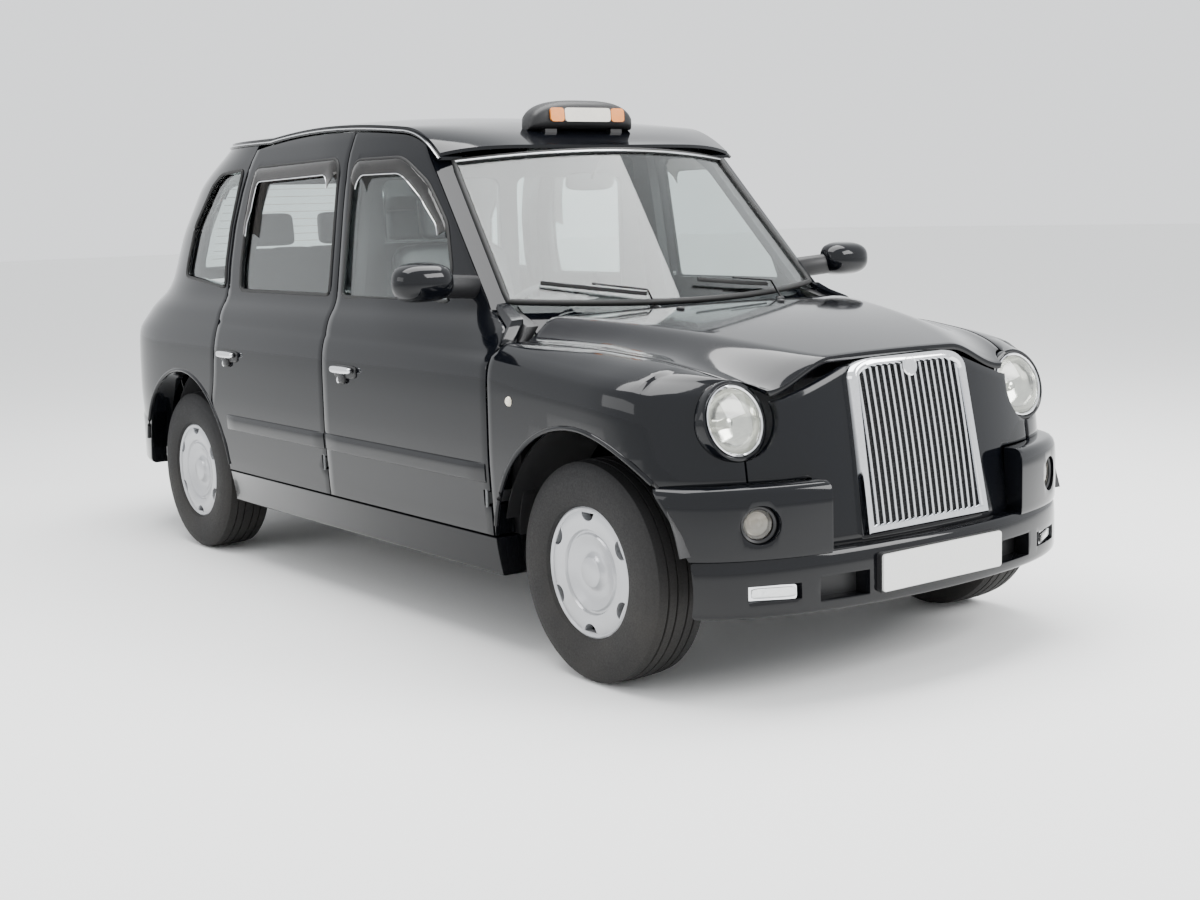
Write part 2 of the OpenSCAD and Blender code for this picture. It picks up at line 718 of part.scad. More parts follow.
low_h = 44;

// Grille: its front face leans back from the foot to the top
grille_lean = atan((nose_tip(grille_z) - nose_tip(930)) / (930 - grille_z));
grille_half = [[grille_z, grille_w], [930, grille_w - 20]];
grille_depth = 60;
module on_grille() {
  translate([nose_tip(grille_z) + 14, 0, grille_z]) rotate([0, -grille_lean, 0]) rotate([90, 0, 90])
    children();
}
grille_up = (grille_top - grille_z) / cos(grille_lean);
function grille_outline(d) = concat(
  [[-grille_w + d, d], [grille_w - d, d]],
  [for (a = [14:8:90]) [(grille_w - 16 - d) * pow(cos(a - 14), 0.35), grille_up - 62 + (62 - d) * sin(a) - 14 * cos(a)]],
  [for (a = [90:-8:14]) [-(grille_w - 16 - d) * pow(cos(a - 14), 0.35), grille_up - 62 + (62 - d) * sin(a) - 14 * cos(a)]]
);
bars = 17;
bar_w = 9;

module grille() {
  color("silver") {
    on_grille() {
      difference() {
        translate([0, 0, -grille_depth]) linear_extrude(grille_depth) polygon(grille_outline(4));
        translate([0, 0, -grille_depth - 1]) linear_extrude(grille_depth + 2) polygon(grille_outline(30));
      }
      translate([0, 0, -grille_depth]) linear_extrude(8) polygon(grille_outline(28));
      intersection() {
        for (i = [1:bars])
          translate([-(grille_w - 28) + i * 2 * (grille_w - 28) / (bars + 1) - bar_w / 2, 20, -grille_depth + 7])
            cube([bar_w, grille_up, 34]);
        translate([0, 0, -grille_depth]) linear_extrude(grille_depth) polygon(grille_outline(29));
      }
    }
  }
}

nose_half = lamp_y - 8;
module front_panel() {
  function top_z(y) = lookup(abs(y), [[240, 952], [380, 902], [470, 874], [515, 866], [620, 878]]);
  function grid(d) = [
    for (v = [0, 0.2, 0.45, 0.7, 0.88, 1]) [
      for (t = [-1, -0.83, -0.7, -0.6, -0.4, 0, 0.4, 0.6, 0.7, 0.83, 1])
        let (y = t * nose_half, z = mix(bumper_mid + seat, top_z(y), v))
        [nose_x(abs(y), z, d) - d, y, z]
    ]
  ];
  color(paint) difference() {
    shell(grid(2), grid(2 + panel_thick));
    on_grille() translate([0, 0, -grille_depth - 60]) linear_extrude(200) polygon(grille_outline(3.6));
    both() lamp_hole();
    both() box([0, far], [-half_w, -bumper_in + seat], [0, bumper_top + seat]);
  }
}

function cup(r, deep, wall) = [
  [0, 0], [r, 0], [r, deep], [r - wall, deep], [r - wall, wall], [0, wall]
];
module lamps() {
  color("#d8dde0") both() {
    at_lamp() {
      translate([0, 0, -70]) rotate_extrude() polygon(cup(lamp_r + 14, 78, 14));
      translate([0, 0, -6]) cylinder(r = lamp_r, h = 12);
      translate([0, 0, -60]) cylinder(r = 30, h = 60);
    }
    rod([x_fa + 558 - 20, -fog_y, fog_z], fog_r, 46, [0, 90, 0]);
    box([nose_x(low_y, 440) - 78, nose_x(low_y, 440) - 14], [-low_y - low_w / 2, -low_y + low_w / 2],
        [low_z - low_h / 2, low_z + low_h / 2]);
    rod([x_a + 131, -(width_at(845) + seat + 4), 845], 15, 8, [90, 0, 0]);
    translate([tail_lamp[0] + 28, -620, 0]) box([-50, 0], [-40, 40], [700, 960]);
  }
}

bonnet_thick = 18;
function bonnet_pt(u, r, d) =
  let (
    xs = mix(x_a + shut_gap + 1, x_fa + 457, u),
    nip = 6 * clamp(1 - 8 * u, 0, 1),
    lead = mix(75 * (1 - r * r), 2 * (1 - pow(abs(r), 3)), u),
    side_z = lid_z(xs),
    mid = mix(1100, 984, pow(u, 1.25)) + 10 * sin(180 * u),
    crown = mix(0.82, 0.5, u),
    f = clamp((0.96 - abs(r)) / (0.96 - crown), 0, 1),
    rise = f * f * (3 - 2 * f)
  )
  [xs + lead, r * (lid_y(xs) - shut_gap / 2 - nip), mix(side_z, mid - 14 * r * r, rise) - d];
bonnet_cross = [1, 0.96, 0.88, 0.78, 0.66, 0.54, 0.35, 0, -0.35, -0.54, -0.66, -0.78, -0.88, -0.96, -1];
bonnet_hinge = [x_a + 45, 1062];
module bonnet() {
  color(paint) {
    difference() {
      shell(
        [for (u = [0:0.1:1]) [for (r = bonnet_cross) bonnet_pt(u, r, 0)]],
        [for (u = [0:0.1:1]) [for (r = bonnet_cross) bonnet_pt(u, r, bonnet_thick)]]
      );
      both() lamp_hole(22);
    }
    for (y = [-bonnet_hinge_y, bonnet_hinge_y]) difference() {
      box([bonnet_hinge[0] - 11, bonnet_hinge[0] + 70], [y - 20, y + 20],
          [bonnet_hinge[1] - 12, bonnet_hinge[1] + 14]);
      rod([bonnet_hinge[0], y, bonnet_hinge[1]], pin_r + pin_clear, 50, [90, 0, 0]);
    }
  }
}
bonnet_hinge_y = 560;

module bonnet_lugs() {
  for (y = [-bonnet_hinge_y, bonnet_hinge_y]) {
    for (s = [-1, 1])
      box([bonnet_hinge[0] - 10, bonnet_hinge[0] + 10], [y + s * 32 - 6, y + s * 32 + 6],
          [1000, bonnet_hinge[1] + 5]);
    rod([bonnet_hinge[0], y, bonnet_hinge[1]], pin_r, 74, [90, 0, 0]);
  }
}

// ---- Scuttle, floor and cabin ----

dash_back = x_a - 330;
module scuttle() {
  function grid(d) = [
    for (t = [0, 0.5, 1]) [
      for (r = [1:-0.25:-1])
        let (a = screen_pt(r, 0, -4), b = bonnet_pt(0, r, 46))
        [mix(a[0] - 20, b[0] + 30, t), r * (cabin_half - 64), mix(a[2] - 14, b[2] - 30, t) - d]
    ]
  ];
  color(paint) {
    shell(grid(0), grid(10));
    box([x_a - 2, x_a + 18], [-cabin_half, cabin_half], [floor_z, 960]);
    box([x_a - 2, x_a + 10], [-cabin_half + 60, cabin_half - 60], [950, 1050]);
    bonnet_lugs();
  }
}

rear_floor = 600;
module floor_pan() {
  color("#202326") {
    box([x_ra + 445, x_a - 2 - seat], [-cabin_half, cabin_half], [floor_z - 40, floor_z]);
    // Rear floor over the axle, with the wheelhouses
    translate([0, 0, 560]) linear_extrude(rear_floor - 560) intersection() {
      polygon(concat(
        [for (a = [0:6:90]) let (p = tail_pt(a, 580, door_thick + 14)) [p[0], p[1]]],
        [for (a = [90:-6:0]) let (p = tail_pt(a, 580, door_thick + 14)) [p[0], -p[1]]],
        [[x_ra + 460, half_w - 160], [x_ra + 460, -half_w + 160]]
      ));
      translate([x_rear, -wheel_in + 14]) square([x_ra + 460 - x_rear, 2 * (wheel_in - 14)]);
    }
    box([x_ra + 440, x_ra + 460], [-wheel_in + 14, wheel_in - 14], [floor_z - 40, 561]);
    for (y = [-1, 1])
      box([x_ra - 500, x_ra + 460], [y * (wheel_in - 9) - 6, y * (wheel_in - 9) + 6], [400, 810]);
    // Covers over the rear tyres
    difference() {
      rod([x_ra, 0, tyre_r], arch_r + 18, 2 * 744, [90, 0, 0]);
      rod([x_ra, 0, tyre_r], arch_r + 6, 2 * far, [90, 0, 0]);
      box([-far, far], [-wheel_in + 4, wheel_in - 4], [0, far]);
      box([-far, far], [-far, far], [-far, 560]);
    }
  }
}

module dashboard() {
  color("#b9b4a8") {
    difference() {
      translate([0, cabin_half - 6, 0]) rotate([90, 0, 0]) linear_extrude(2 * cabin_half - 12) polygon([
        [x_a - 2 - seat, 760], [x_a - 2 - seat, 950], [x_a - 60, 1000], [x_a - 140, 1055],
        [dash_back, 1040],
        [dash_back - 20, 960], [x_a - 250, 800], [x_a - 120, 760]
      ]);
      both() box([0, far], [-far, -cabin_half + 100], [940, far]);
    }
    translate(wheel_at) rotate([0, -wheel_tilt, 0]) {
      translate([0, 0, -200]) cylinder(r = 30, h = 181);
      translate([0, 0, -20]) cylinder(r = 14 - pin_clear, h = 12);
    }
  }
}

wheel_tilt = 62;
wheel_at = [x_a - 460, -370, 1010];
module steering_wheel() {
  color("#1c1d1f") translate(wheel_at) rotate([0, -wheel_tilt, 0]) {
    rotate_extrude() translate([180, 0]) circle(r = 14);
    difference() {
      union() {
        cylinder(r = 62, h = 34, center = true);
        for (a = [0, 120, 240]) rotate([0, 0, a + 60]) translate([50, -14, -8]) cube([124, 28, 16]);
      }
      translate([0, 0, -30]) cylinder(r = 14, h = 24);
    }
  }
}

partition_x = x_b - 60;
module partition() {
  color("#3b3d40") difference() {
    translate([partition_x - 20, 0, 0]) rotate([90, 0, 90]) linear_extrude(40) polygon([
      [-cabin_half + 6, floor_z], [-cabin_half + 6, 1050], [-half_w + 262, window_top_z],
      [half_w - 262, window_top_z], [cabin_half - 6, 1050], [cabin_half - 6, floor_z]
    ]);
    box([0 - far, far], [-cabin_half + 130, -40], [1080, 1560]);
    box([0 - far, far], [40, cabin_half - 130], [1080, 1560]);
  }
}

module seat_cushion(x, y, z) {
  hull() {
    for (i = [0, 1]) for (j = [0, 1])
      translate([mix(x[0] + 45, x[1] - 45, i), mix(y[0] + 45, y[1] - 45, j), z[0]]) cylinder(r = 45, h = z[1] - z[0]);
  }
}
seat_x = x_b + 130;
module driver_seat() {
  color("#26282b") {
    box([seat_x + 60, seat_x + 420], [-560, -180], [floor_z, 560]);
    seat_cushion([seat_x, seat_x + 520], [-620, -120], [560, 690]);
    translate([0, -120, 0]) rotate([90, 0, 0]) linear_extrude(500) polygon([
      [seat_x + 120, 680], [seat_x + 130, 790], [seat_x - 20, 1320], [seat_x - 85, 1320], [seat_x, 680]
    ]);
    translate([0, -260, 0]) rotate([90, 0, 0]) linear_extrude(220) polygon([
      [seat_x - 20, 1310], [seat_x - 35, 1500], [seat_x - 105, 1500], [seat_x - 85, 1310]
    ]);
  }
}

bench_x = x_ra - 20;
module rear_bench() {
  color("#1b1c1e") {
    box([bench_x + 80, bench_x + 440], [-wheel_in + 30, wheel_in - 30], [rear_floor, 700]);
    seat_cushion([bench_x, bench_x + 540], [-wheel_in + 20, wheel_in - 20], [700, 800]);
    translate([0, wheel_in - 20, 0]) rotate([90, 0, 0]) linear_extrude(2 * wheel_in - 40) polygon([
      [bench_x + 110, 795], [bench_x - 60, 1300], [bench_x - 150, 1300], [bench_x - 20, 795]
    ]);
    for (y = [-1, 0, 1]) translate([0, y * 360 + 110, 0]) rotate([90, 0, 0]) linear_extrude(220) polygon([
      [bench_x - 65, 1290], [bench_x - 85, 1450], [bench_x - 150, 1450], [bench_x - 145, 1290]
    ]);
  }
}

sign_x = x_ws - 686;
sign_half = 243;
module roof_sign() {
  color("#1a1b1d") difference() {
    hull() for (y = [-1, 1]) {
      translate([sign_x, y * (sign_half - 66), 1745]) sphere(r = 66, $fn = 20);
      translate([sign_x, y * (sign_half - 110), 1760]) sphere(r = 74, $fn = 20);
    }
    roof_sheet([for (i = [0:9]) roof_stations[i]], seat, 90);
  }
}

// ---- Running gear ----

engine_z = 400;
module engine() {
  color("#6b6e70") box([x_fa - 330, x_fa + 300], [-260, 260], [engine_z, 900]);
}

module front_subframe() {
  color("#2b2d2f") {
    for (y = [-1, 1]) {
      box([x_a + 18 + seat, bumper_inner(370) - 0.9], [y * 340 - 30, y * 340 + 30], [345, 399]);
      box([x_fa - 40, x_fa + 40], [min(y * 345, y * (kingpin_y + 10)), max(y * 345, y * (kingpin_y + 10))],
          [236, 262]);
      box([x_fa - 40, x_fa + 40], [y * 352 - 30, y * 352 + 30], [260, 350]);
    }
    box([x_fa - 60, x_fa + 60], [-340, 340], [345, engine_z - seat]);
    box([x_fa + 470, x_fa + 520], [-340, 340], [345, 399]);
  }
}

kingpin_y = track / 2 - 125;
module knuckle_shape() {
  color("#56595c") {
    rod([x_fa, -kingpin_y, 339 + seat / 2], 24, 153);
    rod([x_fa, -(track / 2 - 60), tyre_r], hub_r, 190, [90, 0, 0]);
    rod([x_fa, -(kingpin_y + 24), tyre_r], 70, 24, [90, 0, 0]);
  }
}

module rear_axle() {
  color("#2b2d2f") {
    rod([x_ra, 0, tyre_r], 40, 2 * wheel_in - 60, [90, 0, 0]);
    rod([x_ra, 0, tyre_r], hub_r, track + 70, [90, 0, 0]);
    translate([x_ra, 60, tyre_r]) sphere(r = 135);
    for (y = [-1, 1])
      box([x_ra - 520, x_ra + 440 - seat], [y * 480 - 30, y * 480 + 30], [tyre_r + 30, tyre_r + 56]);
  }
}

module fuel_tank() {
  color("#2f3133") box([x_ra + 480, x_ra + 1180], [-560, -160], [220, floor_z - 40 - seat]);
}

silencer_r = 60;
module exhaust() {
  z = floor_z - 40 - seat - silencer_r;
  color("#7d7f80") {
    translate([x_ra + 300, 310, z]) rotate([0, 90, 0]) cylinder(r = 24, h = x_fa - 560 - x_ra - 300);
    hull() for (y = [260, 360])
      translate([x_ra + 560, y, z]) rotate([0, 90, 0]) cylinder(r = silencer_r, h = 620, $fn = 24);
  }
}

module tyre_shape(x, s) {
  r = tyre_r;
  w = tyre_w / 2;
  color("#17181a") translate([x, s * track / 2, r]) rotate([90, 0, 0]) rotate_extrude($fn = 96) polygon([
    [rim_r, -w + 14], [rim_r + 30, -w + 2], [r - 60, -w], [r - 22, -w + 12], [r - 5, -w + 32],
    [r, -w + 60], [r, w - 60], [r - 5, w - 32], [r - 22, w - 12], [r - 60, w], [rim_r + 30, w - 2],
    [rim_r, w - 14]
  ]);
}

module wheel_shape(x, s) {
  w = tyre_w / 2;
  color("silver") translate([x, s * track / 2, tyre_r]) rotate([s * -90, 0, 0]) rotate_extrude($fn = 96)
    polygon([
      [hub_r + pin_clear, -20], [90, -20], [120, 36], [rim_r - 20, 40], [rim_r - 20, -w + 16],
      [rim_r - 0.3, -w + 16], [rim_r - 0.3, w - 16], [rim_r - 8, w - 14], [rim_r - 22, w - 26], [150, w - 14],
      [105, w - 8], [84, w - 4], [0, w - 4], [0, w - 14], [hub_r + pin_clear, w - 14]
    ]);
}

module right_side_frame() { side_frame_shape(); }
module left_side_frame() { mirror([0, 1, 0]) side_frame_shape(); }
module right_front_door() { front_door_shape(); }
module left_front_door() { mirror([0, 1, 0]) front_door_shape(); }
module right_rear_door() { rear_door_shape(); }
module left_rear_door() { mirror([0, 1, 0]) rear_door_shape(); }
module right_front_glass() { pane(x_b, x_a, front_window); }
module left_front_glass() { mirror([0, 1, 0]) pane(x_b, x_a, front_window); }
module right_rear_glass() { pane(x_c, x_b, rear_window); }
module left_rear_glass() { mirror([0, 1, 0]) pane(x_c, x_b, rear_window); }
module right_mirror() { mirror_shape(); }
module left_mirror() { mirror([0, 1, 0]) mirror_shape(); }
module right_knuckle() { knuckle_shape(); }
module left_knuckle() { mirror([0, 1, 0]) knuckle_shape(); }
module right_front_tyre() { tyre_shape(x_fa, -1); }
module left_front_tyre() { tyre_shape(x_fa, 1); }
module right_rear_tyre() { tyre_shape(x_ra, -1); }
module left_rear_tyre() { tyre_shape(x_ra, 1); }
module right_front_wheel() { wheel_shape(x_fa, -1); }
module left_front_wheel() { wheel_shape(x_fa, 1); }
module right_rear_wheel() { wheel_shape(x_ra, -1); }
module left_rear_wheel() { wheel_shape(x_ra, 1); }

floor_pan();
scuttle();
right_side_frame();
left_side_frame();
roof();
front_wings();
front_panel();
grille();
lamps();
bumpers();
rear_panel();
windscreen();
rear_windows();
roof_sign();
dashboard();
partition();
driver_seat();
rear_bench();
engine();
fuel_tank();
exhaust();
rear_axle();
front_subframe();
steering_wheel();
right_front_door();
left_front_door();
right_rear_door();
left_rear_door();
right_front_glass();
left_front_glass();
right_rear_glass();
left_rear_glass();
right_mirror();
left_mirror();
bonnet();
boot_lid();
right_knuckle();
left_knuckle();
right_front_tyre();
left_front_tyre();
right_rear_tyre();
left_rear_tyre();
right_front_wheel();
left_front_wheel();
right_rear_wheel();
left_rear_wheel();
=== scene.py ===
import math
import bpy
import bmesh
import numpy as np
from mathutils import Matrix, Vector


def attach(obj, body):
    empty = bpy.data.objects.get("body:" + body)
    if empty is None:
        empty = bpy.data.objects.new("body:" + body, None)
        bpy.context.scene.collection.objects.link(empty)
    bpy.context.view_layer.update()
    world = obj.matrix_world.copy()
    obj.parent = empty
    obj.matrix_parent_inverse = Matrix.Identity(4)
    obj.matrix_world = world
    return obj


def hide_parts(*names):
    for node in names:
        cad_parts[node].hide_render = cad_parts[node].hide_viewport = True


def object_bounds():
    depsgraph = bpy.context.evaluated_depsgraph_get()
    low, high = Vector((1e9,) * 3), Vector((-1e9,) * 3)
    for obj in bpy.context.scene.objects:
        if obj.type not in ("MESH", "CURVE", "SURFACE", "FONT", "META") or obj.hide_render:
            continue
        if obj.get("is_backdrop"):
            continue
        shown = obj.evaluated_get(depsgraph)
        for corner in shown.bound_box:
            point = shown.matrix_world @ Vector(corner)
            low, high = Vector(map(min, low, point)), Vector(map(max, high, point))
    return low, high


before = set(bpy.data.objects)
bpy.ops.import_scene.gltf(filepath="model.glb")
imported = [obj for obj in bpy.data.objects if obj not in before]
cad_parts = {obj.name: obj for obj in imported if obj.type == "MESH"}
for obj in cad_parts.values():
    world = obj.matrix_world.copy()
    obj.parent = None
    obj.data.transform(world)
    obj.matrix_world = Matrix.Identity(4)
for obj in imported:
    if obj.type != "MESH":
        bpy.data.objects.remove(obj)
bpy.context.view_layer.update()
print("frame loaded")

# Stations and levels of the body, in millimetres
cab = {
    "front": 2290, "rear": -2290, "frontAxle": 1622, "rearAxle": -1264, "halfWidth": 890,
    "screenFoot": 1180, "roofTop": 1798, "rail": 1748, "floor": 345, "shutGap": 7,
}
frontAxle = cab["frontAxle"]
rearAxle = cab["rearAxle"]
halfWidth = cab["halfWidth"]
screenFoot = cab["screenFoot"]
gap = cab["shutGap"]


# ---- Shape of the bodywork ----

def table(*pairs):
    xs = [p[0] for p in pairs]
    ys = [p[1] for p in pairs]
    return lambda v: float(np.interp(v, xs, ys))


sideIn = table((265, 35), (400, 12), (650, 0), (890, 2), (950, 8), (1000, 24), (1060, 42), (1090, 62),
               (1110, 76), (1640, 150), (1708, 172), (1758, 190))
tailFrom = table((265, 0), (950, 0), (1110, 114), (1170, 144), (1370, 164), (1572, 314), (1705, 500),
                 (1758, 520))
tailBack = table((265, 60), (550, 32), (670, 26), (800, 30), (950, 48), (1040, 90), (1110, 150),
                 (1170, 200), (1370, 280), (1572, 440), (1705, 690), (1758, 800))
tailRound = table((950, 4), (1110, 3), (1170, 2.8), (1370, 2.5), (1705, 2.3))
cornerFade = table((950, 0), (1110, 1))
noseTip = table((265, 2240), (462, 2228), (700, 2188), (821, 2165), (930, 2142), (1010, 2127))
lidHalf = table((1152, 782), (1400, 748), (1564, 720), (1722, 690), (1842, 662), (1923, 636), (2002, 598),
                (2052, 568), (2085, 515))
lidHeight = table((1152, 1016), (1400, 1014), (1564, 1008), (1800, 984), (1923, 957), (2017, 925),
                  (2085, 893))
crest = table((1112, 1000), (1459, 963), (1853, 928), (2042, 920), (2222, 905))
doorDepthAt = table((950, 87), (1110, 46))
roofDrop = table((-2780, -53), (-2630, -44), (-2380, -27), (-2080, -11), (-1680, 0), (-1380, 0),
                 (-1180, -3), (-1030, -14), (-830, -42), (-680, -76), (-580, -106), (-480, -146))


def clamp(v, low, high):
    return min(max(v, low), high)


def mix(a, b, t):
    return a + (b - a) * t


def smoothTable(f, width):
    return lambda v: sum(f(v + width * k) for k in (-1, -0.5, 0, 0.5, 1)) / 5


sideSoft = smoothTable(sideIn, 22)
lidHeightSoft = smoothTable(lidHeight, 40)
lidHalfSoft = smoothTable(lidHalf, 25)
crestSoft = smoothTable(crest, 60)
roofSoft = smoothTable(roofDrop, 60)
tailFromSoft = smoothTable(tailFrom, 30)
tailBackSoft = smoothTable(tailBack, 25)


def screenX(z):
    return screenFoot - 170 - 0.9 * (z - 1135)


def screenHalf(z):
    return halfWidth - 207 - 0.157 * (z - 1135)


def widthAt(z):
    return halfWidth - sideSoft(z)


def cornerIn(x, z):
    return 78 * clamp((x - screenX(z) + 700) / 700, 0, 1.1) ** 2 * cornerFade(z)


def sideY(x, z, inset=0):
    return widthAt(z) - cornerIn(x, z) - inset


def tailStart(z):
    return rearAxle + tailFromSoft(z)


def tailEnd(z):
    return cab["rear"] + tailBackSoft(z)


def tailPoint(a, z, inset=0):
    s = math.sin(math.radians(a))
    reach = (tailStart(z) - tailEnd(z) - inset) * max(s, 0) ** (2 / tailRound(z))
    return [tailStart(z) - reach, -(widthAt(z) - inset) * math.cos(math.radians(a)), z]


def tailAt(y, z, inset=0):
    a = 90 - math.degrees(math.asin(clamp(abs(y) / (widthAt(z) - inset), -1, 1)))
    return [tailPoint(a, z, inset)[0], y, z]


def railAt(x):
    return cab["rail"] - (x + 150) ** 2 / 9500 - 70 * clamp((x - 350) / 230, 0, 1.3) ** 2


railTail = railAt(rearAxle + 664)
roofEnd = tailEnd(1728) + 4


def roofRail(x):
    return railTail if x < rearAxle + 664 else railAt(x)


def roofHalf(x):
    z = roofRail(x)
    t = clamp((tailStart(z) - x) / (tailStart(z) - roofEnd + 6), 0, 1)
    return (widthAt(z) - cornerIn(x, z) - 3) * math.sqrt(max(0.002, 1 - t ** tailRound(z)))


def roofPoint(x, r, drop=0):
    lead = 116 * (1 - r * r) * clamp((x - 170) / 410, 0, 1)
    edge = roofRail(x) + 18
    mid = cab["roofTop"] + roofSoft(x + lead - screenFoot)
    return [x + lead, roofHalf(x) * r, edge + (mid - edge) * (1 - abs(r) ** 2.6) - drop]


def nosePoint(a, z, inset=0):
    s = math.sin(math.radians(a))
    c = math.cos(math.radians(a))
    return [frontAxle + (noseTip(z) - frontAxle - inset) * max(s, 0) ** (2 / 3.7),
            -(widthAt(z) - inset) * c, z]


def noseX(y, z, inset=0):
    return nosePoint(math.degrees(math.acos(clamp(abs(y) / (widthAt(z) - inset), -1, 1))), z, inset)[0]


def bonnetPoint(u, r, drop=0):
    xs = mix(1178, 2079, u)
    lead = mix(75 * (1 - r * r), 2 * (1 - abs(r) ** 3), u)
    mid = mix(1100, 984, u ** 1.25) + 10 * math.sin(math.pi * u)
    crown = mix(0.82, 0.5, u)
    f = clamp((0.96 - abs(r)) / (0.96 - crown), 0, 1)
    rise = f * f * (3 - 2 * f)
    nip = 6 * clamp(1 - 8 * u, 0, 1)
    return [xs + lead, r * (lidHalfSoft(xs) - gap / 2 - nip),
            mix(lidHeightSoft(xs), mid - 14 * r * r, rise) - drop]


def frontEdge(z):
    return float(np.interp(z, [1005, 1060, 1110, 1758],
                           [1170, 1130, screenX(1110) - 36, screenX(1758) - 36]))


def rearEdge(z):
    return -885 + float(np.interp(z, [620, 760, 950, 1084, 1242, 1400, 1550, 1673, 1752],
                                  [-85, -30, 0, 0, -5, 15, 70, 141, 185]))


# ---- Mesh tools ----

def addMesh(name, verts, faces, body, material, stands=(), angle=34):
    mesh = bpy.data.meshes.new(name)
    mesh.from_pydata([[c / 1000 for c in v] for v in verts], [], faces)
    bm = bmesh.new()
    bm.from_mesh(mesh)
    bmesh.ops.remove_doubles(bm, verts=bm.verts, dist=0.00002)
    bmesh.ops.recalc_face_normals(bm, faces=bm.faces)
    bm.to_mesh(mesh)
    bm.free()
    obj = bpy.data.objects.new(name, mesh)
    bpy.context.collection.objects.link(obj)
    obj.data.materials.append(material)
    smooth(obj, angle)
    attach(obj, body)
    if stands:
        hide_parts(*stands)
    return obj


def smooth(obj, angle):
    obj.data.shade_smooth()
    obj.data.set_sharp_from_angle(angle=math.radians(angle))


def flatten(obj):
    graph = bpy.context.evaluated_depsgraph_get()
    mesh = bpy.data.meshes.new_from_object(obj.evaluated_get(graph))
    obj.modifiers.clear()
    obj.data = mesh


def cutter(verts, faces):
    mesh = bpy.data.meshes.new("cutter")
    mesh.from_pydata([[c / 1000 for c in v] for v in verts], [], faces)
    bm = bmesh.new()
    bm.from_mesh(mesh)
    bmesh.ops.remove_doubles(bm, verts=bm.verts, dist=0.00002)
    bmesh.ops.recalc_face_normals(bm, faces=bm.faces)
    bm.to_mesh(mesh)
    bm.free()
    obj = bpy.data.objects.new("cutter", mesh)
    bpy.context.collection.objects.link(obj)
    return obj


def carve(obj, cutters, keep=False, edge=0, angle=34, folded=False):
    for c in cutters:
        m = obj.modifiers.new("cut", "BOOLEAN")
        m.object = c
        m.solver = "EXACT"
        m.use_self = folded
        m.operation = "INTERSECT" if keep else "DIFFERENCE"
    if edge:
        b = obj.modifiers.new("edge", "BEVEL")
        b.width = edge / 1000
        b.segments = 2
        b.limit_method = "ANGLE"
        b.angle_limit = math.radians(40)
    flatten(obj)
    for c in cutters:
        bpy.data.objects.remove(c)
    smooth(obj, angle)
    return obj


def gridFaces(rows, cols, start=0, flip=False):
    faces = []
    for i in range(rows - 1):
        for j in range(cols - 1):
            a = start + i * cols + j
            f = [a, a + 1, a + cols + 1, a + cols]
            faces.append(f[::-1] if flip else f)
    return faces


def shell(outer, inner):
    rows = len(outer)
    cols = len(outer[0])
    n = rows * cols
    verts = [p for row in outer for p in row] + [p for row in inner for p in row]
    faces = gridFaces(rows, cols) + gridFaces(rows, cols, n, True)
    rim = [j for j in range(cols)] + [i * cols + cols - 1 for i in range(1, rows)]
    rim += [(rows - 1) * cols + j for j in range(cols - 2, -1, -1)]
    rim += [i * cols for i in range(rows - 2, 0, -1)]
    for a, b in zip(rim, rim[1:] + rim[:1]):
        faces.append([b, a, a + n, b + n])
    return verts, faces


def prism(outline, axis, low, high):
    place = {"x": lambda a, b, t: [t, a, b], "y": lambda a, b, t: [a, t, b], "z": lambda a, b, t: [a, b, t]}
    n = len(outline)
    verts = [place[axis](a, b, low) for a, b in outline] + [place[axis](a, b, high) for a, b in outline]
    faces = [list(range(n)), list(range(2 * n - 1, n - 1, -1))]
    faces += [[i, (i + 1) % n, (i + 1) % n + n, i + n] for i in range(n)]
    return verts, faces


def box(x, y, z):
    return prism([[x[0], y[0]], [x[1], y[0]], [x[1], y[1]], [x[0], y[1]]], "z", z[0], z[1])


def roundRect(w, h, r, steps=5):
    points = []
    for cx, cy, start in ((w - r, h - r, 0), (r - w, h - r, 90), (r - w, r - h, 180), (w - r, r - h, 270)):
        for k in range(steps + 1):
            a = math.radians(start + 90 * k / steps)
            points.append([cx + r * math.cos(a), cy + r * math.sin(a)])
    return points


def rounded(points, r, steps=4):
    out = []
    n = len(points)
    for i in range(n):
        p = np.array(points[i], float)
        a = np.array(points[i - 1], float) - p
        b = np.array(points[(i + 1) % n], float) - p
        cut = min(r, 0.45 * np.linalg.norm(a), 0.45 * np.linalg.norm(b))
        pa = p + a / np.linalg.norm(a) * cut
        pb = p + b / np.linalg.norm(b) * cut
        for k in range(steps + 1):
            t = k / steps
            out.append(list((1 - t) ** 2 * pa + 2 * t * (1 - t) * p + t * t * pb))
    return out


def tube(path, radius, closed=False, sides=8, flat=1.0):
    pts = np.array(path, float)
    n = len(pts)
    verts = []
    for i in range(n):
        before = pts[i - 1] if closed or i else pts[i]
        after = pts[(i + 1) % n] if closed or i < n - 1 else pts[i]
        d = after - before
        d = d / (np.linalg.norm(d) + 1e-9)
        up = np.array([0, 0, 1.0]) if abs(d[2]) < 0.9 else np.array([1.0, 0, 0])
        a = np.cross(d, up)
        a /= np.linalg.norm(a)
        b = np.cross(a, d)
        for k in range(sides):
            t = 2 * math.pi * k / sides
            verts.append(list(pts[i] + radius * (math.cos(t) * a + flat * math.sin(t) * b)))
    faces = []
    for i in range(n if closed else n - 1):
        for k in range(sides):
            j = (i + 1) % n
            faces.append([i * sides + k, i * sides + (k + 1) % sides, j * sides + (k + 1) % sides,
                    j * sides + k])
    if not closed:
        faces.append(list(range(sides)))
        faces.append([(n - 1) * sides + k for k in range(sides - 1, -1, -1)])
    return verts, faces


